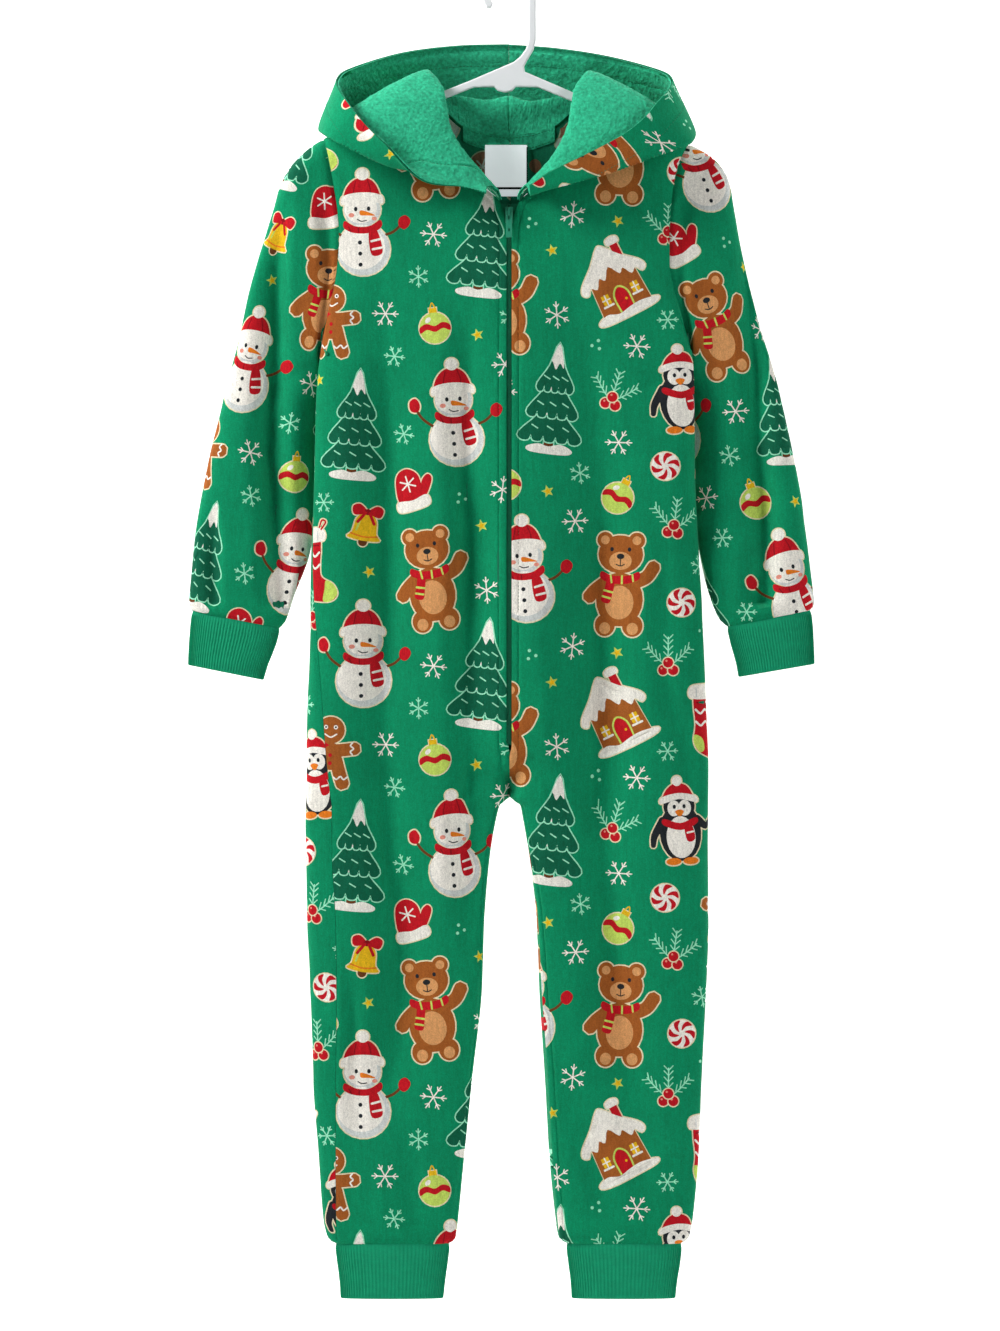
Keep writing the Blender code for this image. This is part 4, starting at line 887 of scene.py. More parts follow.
def sampled(grid, uv):
    """A grid's value between its nodes."""
    rows, columns = grid.shape[:2]
    i = np.clip(np.floor(uv[:, 0]).astype(int), 0, rows - 2)
    j = np.clip(np.floor(uv[:, 1]).astype(int), 0, columns - 2)
    a, b = (uv[:, 0] - i)[:, None], (uv[:, 1] - j)[:, None]
    return (grid[i, j] * (1 - a) * (1 - b) + grid[i + 1, j] * a * (1 - b)
            + grid[i, j + 1] * (1 - a) * b + grid[i + 1, j + 1] * a * b)


def located(pattern, targets):
    """The grid places whose pattern place is each target."""
    rows, columns = pattern.shape[:2]
    flat = pattern.reshape(-1, 2)
    tree = kdtree.KDTree(len(flat))
    for k, (x, y) in enumerate(flat):
        tree.insert((x, y, 0), k)
    tree.balance()
    near = np.array([tree.find((x, y, 0))[1] for x, y in targets])
    uv = np.stack([near // columns, near % columns], -1).astype(float)
    for _ in range(14):
        i = np.clip(np.floor(uv[:, 0]).astype(int), 0, rows - 2)
        j = np.clip(np.floor(uv[:, 1]).astype(int), 0, columns - 2)
        a, b = (uv[:, 0] - i)[:, None], (uv[:, 1] - j)[:, None]
        p, q, r, s = pattern[i, j], pattern[i + 1, j], pattern[i, j + 1], pattern[i + 1, j + 1]
        off = targets - (p * (1 - a) * (1 - b) + q * a * (1 - b) + r * (1 - a) * b + s * a * b)
        du = (q - p) * (1 - b) + (s - r) * b
        dv = (r - p) * (1 - a) + (s - q) * a
        det = du[:, 0] * dv[:, 1] - du[:, 1] * dv[:, 0]
        det = np.where(np.abs(det) < 1e-4, 1e-4, det)
        move = np.stack([(off[:, 0] * dv[:, 1] - off[:, 1] * dv[:, 0]) / det,
                         (du[:, 0] * off[:, 1] - du[:, 1] * off[:, 0]) / det], -1)
        uv = np.clip(uv + np.clip(move, -2.5, 2.5), 0, (rows - 1, columns - 1))
    return uv


def rim_of(triangles):
    """The vertices round a patch of triangles, in order."""
    edges = np.concatenate([triangles[:, (0, 1)], triangles[:, (1, 2)], triangles[:, (2, 0)]])
    known = {(a, b) for a, b in edges.tolist()}
    ahead = {a: b for a, b in known if (b, a) not in known}
    first = next(iter(ahead))
    ring = [first]
    while ahead[ring[-1]] != first:
        ring.append(ahead[ring[-1]])
        if len(ring) > len(ahead):
            break
    return ring


def turned_left(shape):
    """Whether a walk goes round counter-clockwise."""
    x, y = shape[:, 0], shape[:, 1]
    return (x * np.roll(y, -1) - y * np.roll(x, -1)).sum() > 0


def apart(points, least):
    """Which points of a walk are kept so that they stand apart."""
    kept = [0]
    for k in range(1, len(points)):
        if np.hypot(*(points[k] - points[kept[-1]])) > least:
            kept.append(k)
    if np.hypot(*(points[kept[-1]] - points[0])) < least:
        kept.pop()
    return kept


def border(rows, columns):
    """The nodes round a grid, in order."""
    return ([(i, 0) for i in range(rows)] + [(rows - 1, j) for j in range(1, columns)]
            + [(i, columns - 1) for i in range(rows - 2, -1, -1)] + [(0, j) for j in range(columns - 2, 0, -1)])


def with_shapes(points, faces, colours, shapes):
    """Outlines added to the points, faces and colours of a patch; all its points, for the triangulation."""
    count = sum(len(some) for some in points)
    for colour, shape in shapes:
        faces.append(list(range(count, count + len(shape))))
        colours.append(colour)
        points.append(shape if turned_left(shape) else shape[::-1])
        count += len(shape)
    return [Vector(p) for p in np.concatenate(points)]


def facing(points, triangles, ways):
    """1 where most triangles face along their first corner's normal, -1 where against it."""
    p = points[triangles]
    across = np.cross(p[:, 1] - p[:, 0], p[:, 2] - p[:, 0])
    return np.median(np.sign(np.einsum("ij,ij->i", across, ways[triangles[:, 0]])))


def cloth(name, grid, normals, pattern, shapes, wall, coarse=2, through=None, body="root"):
    """A thin wall of cloth: its face carries the shapes, its back is plain or shows them faintly above a drop."""
    rows, columns = grid.shape[:2]
    loop = np.array(border(rows, columns))
    loop = loop[apart(pattern[loop[:, 0], loop[:, 1]], 0.25)]
    if not turned_left(pattern[loop[:, 0], loop[:, 1]]):
        loop = loop[::-1]
    step = np.hypot(*np.moveaxis(pattern[1:-1, 1:-1] - pattern[1:-1, :-2], -1, 0))
    ahead = np.hypot(*np.moveaxis(pattern[1:-1, 2:] - pattern[1:-1, 1:-1], -1, 0))
    up = np.hypot(*np.moveaxis(pattern[1:-1, 1:-1] - pattern[:-2, 1:-1], -1, 0))
    inner = np.argwhere((step > 0.35) & (ahead > 0.35) & (up > 0.05)) + 1
    nodes = np.concatenate([loop, inner])
    faces = [list(range(len(loop)))]
    colours = [COLOUR_NAMES.index("ground")]
    flat = with_shapes([pattern[nodes[:, 0], nodes[:, 1]]], faces, colours, shapes)
    out = delaunay_2d_cdt(flat, [], faces, 1, 0.02, True)
    place = np.array([v[:] for v in out[0]])
    kept = [k for k, whose in enumerate(out[5]) if 0 in whose]
    triangles = np.array([out[2][k] for k in kept])
    paint = np.array([colours[max(out[5][k])] for k in kept])
    used, triangles = np.unique(triangles, return_inverse=True)
    triangles = triangles.reshape(-1, 3)
    place = place[used]
    uv = np.full((len(used), 2), -1.0)
    for k, v in enumerate(used):
        whose = [w for w in out[3][v] if w < len(nodes)]
        if whose:
            uv[k] = nodes[min(whose)]
    lost = uv[:, 0] < 0
    if lost.any():
        uv[lost] = located(pattern, place[lost])
    top = sampled(grid, uv)
    if facing(top, triangles, unit(sampled(normals, uv))) < 0:
        triangles = triangles[:, ::-1]
    ring = rim_of(triangles)
    # The back: a coarser grid of its own inside the same rim.
    low_nodes = np.argwhere(np.ones((rows, columns), bool))
    low_nodes = low_nodes[(low_nodes % coarse == coarse // 2).all(1)]
    low_nodes = low_nodes[(low_nodes > 0).all(1) & (low_nodes < (rows - 1, columns - 1)).all(1)]
    low_faces, low_colours = [list(range(len(ring)))], [COLOUR_NAMES.index("inside")]
    if not turned_left(place[ring]):
        low_faces = [low_faces[0][::-1]]
    seen = [(colour + len(COLOUR_NAMES), shape) for colour, shape in shapes
            if through is not None and shape[:, 1].max() < through]
    low_flat = with_shapes([place[ring], pattern[low_nodes[:, 0], low_nodes[:, 1]]], low_faces, low_colours, seen)
    low = delaunay_2d_cdt(low_flat, [], low_faces, 1, 1e-4, True)
    low_place = np.array([v[:] for v in low[0]])
    known = len(ring) + len(low_nodes)
    low_source = [min(w) if w and min(w) < known else -1 for w in low[3]]
    low_uv = np.array([uv[ring[w]] if 0 <= w < len(ring) else
                       (low_nodes[w - len(ring)] if w >= 0 else (-1, -1)) for w in low_source], float)
    stray = low_uv[:, 0] < 0
    if stray.any():
        low_uv[stray] = located(pattern, low_place[stray])
    way = unit(sampled(normals, low_uv))
    under = sampled(grid, low_uv) - way * wall
    low_tri = np.array([t for t, w in zip(low[2], low[5]) if 0 in w])
    low_paint = [low_colours[max(w)] for w in low[5] if 0 in w]
    if facing(under, low_tri, way) > 0:
        low_tri = low_tri[:, ::-1]
    # The edge between them, in two bands.
    at = {w: k for k, w in enumerate(low_source) if 0 <= w < len(ring)}
    base = len(top)
    faces = triangles.tolist() + (low_tri + base).tolist()
    paints = paint.tolist() + low_paint + [COLOUR_NAMES.index("ground")] * (2 * len(ring))
    bulge = np.array([(top[v] + under[at[k]]) / 2 for k, v in enumerate(ring)])
    middle = base + len(under)
    for k in range(len(ring)):
        n = (k + 1) % len(ring)
        faces.append([ring[k], middle + k, middle + n, ring[n]])
        faces.append([middle + k, base + at[k], base + at[n], middle + n])
    return made(name, np.concatenate([top, under, bulge]), faces, paints, body)


def made(name, points, faces, paints=None, body="root", smooth_up_to=50):
    """A mesh object from places in millimetres, riding on a body."""
    mesh = bpy.data.meshes.new(name)
    mesh.from_pydata(millimetres(points).tolist(), [], [list(f) for f in faces])
    if paints is not None:
        table = np.array([linear(c) for c in COLOUR_NAMES])
        table = np.concatenate([table, linear("inside") * (1 - THROUGH) + table * THROUGH])
        table = np.concatenate([table, np.ones((len(table), 1))], 1)
        layer = mesh.color_attributes.new("print", "FLOAT_COLOR", "CORNER")
        sizes = np.array([len(f) for f in faces])
        layer.data.foreach_set("color", table[np.repeat(np.array(paints), sizes)].astype(np.float32).ravel())
    mesh.validate()
    mesh.shade_smooth()
    mesh.set_sharp_from_angle(angle=radians(smooth_up_to))
    thing = bpy.data.objects.new(name, mesh)
    bpy.context.scene.collection.objects.link(thing)
    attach(thing, body)
    return thing


# ---------------------------------------------------------------- body panels
GRAIN = {"right": 409.0, "left": 609.0}     # where the print hangs straight, in x
ZIP_STITCH = {"right": 7.6, "left": 7.0}    # topstitching, from the zip's edge
EDGE_STEPS = np.array([0, 0.9, 1.9, 3.0, 4.4, 6.0, 8.0])
ZIP_STEPS = np.array([0, 0.7, 1.6, 2.8, 4.2, 5.6, 6.4, 7.0, 7.6, 8.2, 8.9, 10.0, 12.0])
SPACING = 4.2                               # between the rows and columns of the open cloth
PANEL_WIDTH = 190.0                         # about a panel's own


def row_steps(side):
    """Rows, close together over the shoulder and evenly spaced below."""
    table = BODY_ROWS[side]
    rows = list(RIDGE_ROWS * (1 - np.cos(np.linspace(0, pi / 2, 10))))
    for i in range(len(table) - 1):
        a, b = table[i], table[i + 1]
        tall = max(abs(b[1] - a[1]), abs(b[5] - a[5]))
        n = max(int(round(tall / SPACING)), 2)
        for k in range(n):
            r = i + k / n
            if r > RIDGE_ROWS + 0.02:
                rows.append(r)
    rows.append(len(table) - 1.0)
    last = len(table) - 1
    rows += [last - 0.25, last - 0.5]
    return np.unique(np.round(rows, 4))


def column_steps(length, near_fine, far_fine, zipped):
    """Shares of a panel's width: fine at its seams."""
    first = EDGE_STEPS if near_fine else EDGE_STEPS[:1]
    last = (ZIP_STEPS if zipped else EDGE_STEPS) if far_fine else EDGE_STEPS[:1]
    n = int(round((length - first[-1] - last[-1]) / SPACING))
    inner = np.linspace(first[-1], length - last[-1], n + 1)[1:-1]
    return np.concatenate([first, inner, (length - last)[::-1]]) / length


def horizontal(side, r):
    """The horizontal distance round the ring at row r, as two arrays: along, distance."""
    alongs, flats = [], []
    for face in (1, -1):
        points, length = half_ring(side, r, face)[:2]
        flat = summed(np.hypot(np.diff(points[:, 0]), np.diff(points[:, 2])))
        if face > 0:
            alongs.append(-length[::-1])
            flats.append(-flat[::-1])
        else:
            alongs.append(length[1:])
            flats.append(flat[1:])
    return np.concatenate(alongs), np.concatenate(flats)


def panel(side, face):
    """A panel's fine grid of points, normals and pattern places."""
    rows = row_steps(side)
    wraps = (side, face) in WRAPS_SIDE
    inseam = (side, face) in WRAPS_INSEAM
    main = column_steps(PANEL_WIDTH, not wraps, not inseam, face < 0)
    side_part = np.array([0, 0.06, 0.13, 0.24, 0.38, 0.54, 0.68, 0.80, 0.89, 0.955])
    near_edge = np.array([0.008, 0.018, 0.032])
    places, ways, pattern = [], [], []
    sign = 1 if side == "right" else -1
    last = len(BODY_ROWS[side]) - 1
    for r in rows:
        first, end = body_span(side, r, face)
        lengths = [half_ring(side, r, way)[1][-1] for way in (-1, 1)]
        near, far = (max(first, 0.0), min(end, lengths[0])) if face < 0 else (min(first, 0.0), max(end, -lengths[1]))
        t = main
        if wraps:
            t = np.concatenate([[0], near_edge, main[1:]])
        if inseam:
            t = np.concatenate([t[:-1], 1 - near_edge[::-1], [1.0]])
        along = near + (far - near) * t
        if wraps:
            along = np.concatenate([first + (near - first) * side_part, along])
        if inseam:
            along = np.concatenate([along, far + (end - far) * np.array([0.3, 0.6, 0.85, 1.0])])
        step = 0.0004 + 0.015 * min(r, 1.0)
        low, high = max(r - step, 0.0), min(r + step, last)
        down = (body_points(side, high, stretched(side, r, high, along))
                - body_points(side, low, stretched(side, r, low, along)))
        ends = np.array([lengths[1], lengths[0]])
        ends = ends + (0.0 if BODY[side](r)[COLUMN["in_edge"]] > 0.02 else 50.0)
        across = (body_points(side, r, np.clip(along + 0.5, -ends[0], ends[1]))
                  - body_points(side, r, np.clip(along - 0.5, -ends[0], ends[1])))
        here = body_points(side, r, along)
        turn, flat = horizontal(side, r)
        points, length = half_ring(side, r, face)[:2]
        order = np.argsort(points[:, 0])
        grain = -face * np.interp(GRAIN[side], points[order, 0], length[order])
        x = sign * (np.interp(along, turn, flat) - np.interp(grain, turn, flat))
        places.append(here)
        ways.append(unit(np.cross(across, down)))
        pattern.append(np.stack([x, here[:, 1]], -1))
    places, ways, pattern = np.array(places), np.array(ways), np.array(pattern)
    if ways[len(rows) // 2, ways.shape[1] // 2, 2] * face < 0:
        ways = -ways
    return places, ways, pattern


def margins(places, pattern):
    """How far each place is from the panel's first, last, top and end edges."""
    from_first = summed(np.hypot(*np.moveaxis(np.diff(pattern, axis=1), -1, 0)), 1)
    from_top = summed(np.linalg.norm(np.diff(places, axis=0), axis=2))
    return from_first, from_first[:, -1:] - from_first, from_top, from_top[-1:] - from_top


SEAM_REACH = 2.3       # how far from a seam the cloth is drawn in


def seamed(places, ways, pattern, depths):
    """The panel drawn in along its seams: depths at its first, last, top and end edges."""
    dip = np.zeros(places.shape[:2])
    for away, deep in zip(margins(places, pattern), depths):
        dip = np.maximum(dip, deep * np.exp(-(away / SEAM_REACH) ** 2))
    return places - ways * dip[..., None]


# Long valleys between billows of cloth, at front and back: the (x, drop, depth) they run
# through, how far their left and right flanks reach, and how softly they turn.
VALLEYS = {
    -1: ((((378, 240, 0.0), (384, 300, 2.5), (385, 370, 6.0), (386, 440, 10.0), (386, 560, 10.5), (384, 650, 11.0),
           (383, 710, 8.0), (386, 780, 8.5), (389, 840, 9.0), (399, 900, 9.5), (401, 980, 9.5), (397, 1040, 7.5),
           (391, 1090, 4.5), (386, 1140, 0.0)), 46, 58, 6.0),
         (((466, 300, 0.0), (467, 345, 3.0), (465, 400, 7.0), (465, 460, 8.0), (470, 520, 9.5), (471, 580, 9.5),
           (469, 650, 8.0), (469, 720, 6.0), (471, 790, 5.5), (470, 850, 6.0), (470, 930, 3.0), (468, 990, 0.0)),
          28, 42, 4.0),
         (((576, 300, 0.0), (590, 370, 4.0), (598, 430, 5.0), (603, 500, 6.0), (602, 570, 9.0), (603, 650, 11.0),
           (605, 730, 11.5), (602, 800, 10.0), (606, 860, 8.5), (611, 930, 9.0), (618, 1000, 9.0), (626, 1060, 6.5),
           (634, 1110, 4.0), (640, 1170, 2.5), (642, 1222, 0.0)), 54, 42, 9.0),
         (((664, 520, 0.0), (664, 580, 2.2), (664, 640, 1.6), (666, 690, 2.4), (682, 740, 3.0), (687, 790, 2.0),
           (690, 840, 0.0)), 18, 16, 5.0),
         (((352, 960, 0.0), (352, 1010, 3.0), (352, 1060, 3.0), (356, 1110, 2.0), (360, 1150, 0.0)), 18, 14, 4.0),
         (((566, 1060, 0.0), (570, 1100, 2.0), (590, 1150, 3.0), (600, 1200, 2.5), (602, 1226, 0.0)), 24, 26, 6.0),
         (((402, 1120, 0.0), (410, 1160, 2.0), (414, 1226, 2.0)), 20, 30, 6.0)),
    1: ((((414, 290, 0.0), (411, 380, 5.0), (408, 560, 9.0), (406, 740, 9.0), (402, 900, 7.0), (400, 1040, 4.0),
          (398, 1120, 0.0)), 46, 48, 8.0),
        (((604, 300, 0.0), (606, 400, 5.0), (607, 560, 8.5), (610, 740, 9.5), (612, 920, 8.0), (614, 1060, 4.5),
          (616, 1140, 0.0)), 48, 46, 9.0),
        (((496, 340, 0.0), (500, 480, 3.5), (497, 640, 4.0), (490, 750, 0.0)), 30, 34, 7.0),
        (((532, 400, 0.0), (528, 520, 2.5), (532, 680, 3.0), (540, 770, 0.0)), 22, 26, 6.0),
        (((448, 860, 0.0), (436, 960, 4.0), (430, 1080, 5.5), (430, 1224, 3.5)), 30, 26, 7.0),
        (((560, 860, 0.0), (562, 980, 3.0), (560, 1100, 5.0), (566, 1224, 3.5)), 24, 30, 7.0),
        (((350, 1000, 0.0), (354, 1100, 3.0), (360, 1224, 3.0)), 16, 18, 5.0),
        (((662, 980, 0.0), (660, 1090, 3.5), (654, 1224, 3.0)), 18, 16, 5.0)),
}
SEEN_INSIDE = 250.0    # the drop down to which the back's inner side shows through the open neck
# Short creases: x, drop of each end, the widths of the left and right flanks, and the height
# (below nothing for a trough), at front and back.
CREASES = {
    -1: ((680, 190, 684, 640, 24, 9, 4.6), (690, 690, 694, 1100, 26, 9, 3.0),
         (330, 372, 356, 470, 10, 6, 1.6), (326, 366, 372, 426, 8, 6, -1.5), (338, 352, 420, 372, 8, 7, 1.0),
         (486, 236, 488, 420, 6, 9, 1.0), (532, 240, 530, 520, 9, 6, 1.0), (544, 540, 546, 780, 20, 12, 3.6),
         (566, 236, 570, 350, 9, 7, -1.2), (610, 268, 616, 330, 8, 7, -1.2), (376, 214, 380, 280, 9, 8, -1.2),
         (616, 380, 610, 460, 10, 8, 1.0), (690, 372, 642, 452, 7, 9, 1.2), (694, 366, 628, 400, 7, 7, -1.1),
         (478, 700, 452, 800, 8, 6, 1.5), (482, 760, 436, 850, 7, 6, -1.4), (470, 830, 420, 900, 8, 6, 1.2),
         (538, 704, 566, 800, 6, 8, 1.5), (536, 764, 584, 846, 6, 7, -1.4), (548, 836, 600, 890, 6, 8, 1.2),
         (352, 985, 398, 1004, 8, 7, -1.2), (368, 1010, 440, 1028, 8, 7, 1.1), (420, 1060, 456, 1040, 7, 6, -1.0),
         (590, 1000, 640, 1018, 7, 8, -1.2), (572, 1034, 610, 1046, 7, 7, 1.1), (650, 1040, 676, 1024, 7, 7, 0.9),
         (352, 1150, 362, 1222, 7, 7, 1.3), (378, 1150, 380, 1226, 7, 8, 1.8), (426, 1120, 430, 1224, 7, 6, 1.0),
         (584, 1140, 578, 1224, 6, 7, 1.0), (624, 1150, 618, 1226, 6, 6, 1.0), (660, 1130, 656, 1224, 7, 6, 1.3),
         (352, 176, 392, 214, 9, 7, 1.2), (664, 176, 628, 216, 7, 9, 1.2)),
    1: ((350, 520, 362, 1040, 13, 10, 1.6), (330, 376, 380, 440, 8, 6, 1.6), (690, 376, 640, 440, 6, 8, 1.6),
        (654, 620, 660, 1000, 10, 9, 1.4), (476, 690, 446, 812, 8, 6, 1.6), (542, 690, 570, 812, 6, 8, 1.6),
        (352, 1000, 420, 1016, 8, 7, -1.5), (600, 1010, 660, 996, 8, 7, -1.5), (384, 1130, 380, 1224, 6, 6, 1.2),
        (460, 1136, 458, 1224, 6, 6, -1.1), (560, 1136, 562, 1224, 6, 6, 1.2), (640, 1130, 636, 1224, 6, 6, -1.1),
        (460, 150, 430, 260, 10, 9, 1.0), (556, 150, 590, 260, 9, 10, 1.0)),
}


VALLEY_GAIN = 2.0      # how much deeper the valleys are laid than their tables say


def valley(x, drop, path, left, right, soft):
    """How far a long valley lets the cloth down: steepest beside its line, level at its reach."""
    curve = catmull(path)
    fine = np.array([curve(t) for t in np.linspace(0, len(path) - 1, 12 * len(path))])
    deep = np.maximum(np.interp(drop, fine[:, 1], fine[:, 2], 0.0, 0.0), 0.0)
    off = x - np.interp(drop, fine[:, 1], fine[:, 0])
    away = np.sqrt(off * off + soft * soft) - soft
    return VALLEY_GAIN * deep * np.maximum(1 - away / np.where(off < 0, left, right), 0.0) ** 2


def creased(places, ways, pattern, valleys, table, wave=0.8, seed=1, edge=16.0):
    """Valleys, creases and a light waviness laid over a panel, none at its edges."""
    x, drop = places[..., 0], places[..., 1]
    height = np.zeros_like(x)
    for path, left, right, soft in valleys:
        height -= valley(x, drop, path, left, right, soft)
    for x0, drop0, x1, drop1, left, right, tall in table:
        size = hypot(x1 - x0, drop1 - drop0)
        go = ((x1 - x0) / size, (drop1 - drop0) / size)
        along = ((x - x0) * go[0] + (drop - drop0) * go[1]) / size
        bow = 0.035 * size * np.sin(pi * along + x0) + 1.2 * np.sin(9 * along + drop0)
        off = (x - x0) * go[1] - (drop - drop0) * go[0] - bow
        wide = np.where(off < 0, left, right) * (0.75 + 0.4 * np.sin(pi * np.clip(along, 0, 1)))
        height += tall * eased(along / 0.35) * eased((1 - along) / 0.35) * np.exp(-(off / wide) ** 2)
    height += wave * (noise(x, drop * 0.36, 30, seed) + 0.45 * noise(x, drop * 0.5, 13, seed + 1))
    near = np.minimum.reduce(margins(places, pattern))
    return places + ways * (height * eased(near / edge))[..., None]


def line_on(places, ways, away, distance):
    """The points and normals that lie a distance from an edge, one per row."""
    points, normals = [], []
    for row, way, gap in zip(places, ways, away):
        order = np.argsort(gap)
        points.append(walk(row[order], gap[order], distance))
        normals.append(walk(way[order], gap[order], distance))
    return np.array(points), np.array(normals)


ZIP_LINES = {}         # where each front's stitches run
SHIFTS = {("right", -1): (12, 40), ("left", -1): (-118, 196), ("right", 1): (-60, 150), ("left", 1): (90, -20)}
for side in ("right", "left"):
    for face, word in ((-1, "front"), (1, "back")):
        places, ways, pattern = panel(side, face)
        zipped = face < 0
        places = creased(places, ways, pattern, VALLEYS[face], CREASES[face], 0.9, 3 if side == "right" else 9)
        if zipped:
            from_zip = margins(places, pattern)[1]
            groove = np.exp(-((from_zip - ZIP_STITCH[side]) / 0.9) ** 2)
            roll = 0.5 * np.exp(-(from_zip / 0.9) ** 2)
            places = places - ways * (groove + roll)[..., None]
            # The tab that covers the zip's end, and the hollow below it.
            x, drop = places[..., 0], places[..., 1]
            hollow = 8.0 * np.exp(-((x - 510.5) / 9.5) ** 2) * eased((drop - 764) / 12) * eased((804 - drop) / 16)
            tab = 2.4 * np.exp(-((x - 511.5) / 7.0) ** 4) * eased((drop - 748) / 5) * eased((771 - drop) / 4)
            places[..., 2] += hollow - tab
            ZIP_LINES[side] = line_on(places, ways, from_zip, ZIP_STITCH[side])
        places = seamed(places, ways, pattern, (0.6, 0.0 if zipped else 0.8, 0.0, 0.9))
        if side == "right":
            # Where the two halves are sewn together, this one's edge tucks in under the other's.
            sewn = (np.abs(places[:, -1, 0] - ZIP_X) < 3) & ((places[:, -1, 1] > 743) | (not zipped))
            places[sewn, -1, 0] += 2.0
            places[sewn, -1, 2] -= face * 1.2
        thing = cloth(f"cloth_{word}_{side}", places, ways, pattern, printed(pattern, SHIFTS[(side, face)]), WALL,
                      through=None if zipped else SEEN_INSIDE)
        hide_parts(f"{word}_{side}")


# ---------------------------------------------------------------- sleeves
SLEEVE_LEANS = {"right": -11.3, "left": 11.6}      # degrees from upright


def sleeve(side):
    """A sleeve's fine grid of points, normals and pattern places."""
    table = SLEEVES[side]
    steps = [0.0, 0.12, 0.25, 0.4]
    for i in range(len(table) - 1):
        tall = hypot(table[i + 1][0] - table[i][0], table[i + 1][1] - table[i][1])
        n = max(int(round(tall / SPACING)), 2)
        steps += [i + k / n for k in range(n) if i + k / n > 0.45]
    last = len(table) - 1.0
    steps += [last - 0.4, last - 0.2, last]
    steps = np.unique(np.round(steps, 4))
    around = np.concatenate([[0, 0.004, 0.009], np.linspace(0, 1, 93)[1:-1], [0.991, 0.996]])
    points = np.array([[sleeve_point(side, s, w) for w in around] for s in steps])
    points[0] += unit(points[1] - points[0], 0.01) * 2 * SEAM
    ways = grid_normals(points, True)
    middle = int(np.searchsorted(around, 0.25))
    if ways[len(steps) // 2, middle, 2] > 0:
        ways = -ways
    points = np.concatenate([points, points[:, :1]], 1)
    ways = np.concatenate([ways, ways[:, :1]], 1)
    lean = radians(SLEEVE_LEANS[side])
    q = points[..., 0] * cos(lean) - points[..., 1] * sin(lean)
    along = points[..., 0] * sin(lean) + points[..., 1] * cos(lean)
    depth = np.array([SLEEVE[side](s)[SLEEVE_COLUMNS.index("depth")] for s in steps])[:, None]
    u = np.concatenate([around, [1.0]])
    u = np.where(u < 0.5, 2 * u, 2 - 2 * u)
    spread = 0.5 - 0.5 * np.cos(pi * u)
    round_off = 1 - np.maximum(1 - np.abs(2 * spread - 1) ** SLEEVE_POWER, 0) ** (1 / SLEEVE_POWER)
    way = (1 if side == "right" else -1) * np.where(spread < 0.5, 1, -1)
    q = q + depth * 0.6 * (round_off * way)[None, :]
    # The back half is turned out about the sleeve's outer edge.
    outer = int(np.searchsorted(around, 0.5))
    flat = np.stack([q, along], -1)
    edge = flat[:, outer]
    run = np.gradient(edge, axis=0)
    soft = 14
    reach = np.exp(-(np.arange(-soft, soft + 1) / (soft / 2)) ** 2)
    padded = np.concatenate([np.repeat(run[:1], soft, 0), run, np.repeat(run[-1:], soft, 0)])
    run = unit(np.stack([np.convolve(padded[:, k], reach, "valid") for k in range(2)], -1))
    off = flat[:, outer + 1:] - edge[:, None]
    kept = (off * run[:, None]).sum(-1, keepdims=True)
    flat[:, outer + 1:] = edge[:, None] + 2 * kept * run[:, None] - off
    return points, ways, flat


SLEEVE_VALLEYS = (
    (((284, 190, 0.0), (279, 240, 2.5), (276, 290, 6.0), (277, 340, 7.0), (275, 390, 8.0), (274, 440, 8.5),
      (277, 500, 8.0), (279, 550, 6.0), (283, 606, 4.5)), 26, 15, 4.5),
    (((214, 500, 0.0), (213, 550, 3.5), (214, 606, 3.5)), 14, 12, 4.0),
    (((740, 190, 0.0), (746, 250, 2.5), (752, 310, 4.0), (757, 380, 6.0), (759, 440, 6.0), (765, 500, 7.5),
      (766, 560, 7.0), (764, 606, 6.0)), 27, 17, 5.0),
)
SLEEVE_CREASES = (
    (300, 330, 262, 372, 7, 6, 1.2), (312, 368, 258, 402, 7, 6, -1.2), (306, 402, 246, 420, 7, 6, 1.1),
    (240, 430, 282, 458, 7, 6, -1.2), (232, 452, 262, 486, 8, 6, 1.2), (290, 300, 291, 560, 9, 8, 1.6),
    (238, 400, 250, 606, 34, 10, 3.0), (796, 500, 800, 606, 20, 8, 2.6), (772, 380, 798, 560, 18, 10, 2.4),
    (250, 540, 250, 606, 7, 6, 1.0), (298, 560, 296, 606, 6, 7, 1.2), (296, 190, 290, 300, 9, 7, 1.2),
    (716, 330, 752, 372, 6, 7, 1.2), (706, 372, 758, 404, 6, 7, -1.2), (712, 404, 766, 424, 6, 7, 1.1),
    (776, 436, 736, 462, 6, 7, -1.2), (784, 458, 756, 490, 6, 8, 1.2), (736, 300, 736, 480, 9, 8, 1.5),
    (788, 520, 796, 600, 7, 8, -1.4), (736, 540, 740, 606, 6, 7, 1.0), (780, 540, 782, 606, 6, 7, 1.0),
    (722, 190, 732, 300, 7, 9, 1.2),
)
SLEEVE_SHIFTS = {"right": (40, 120), "left": (-35, -75)}
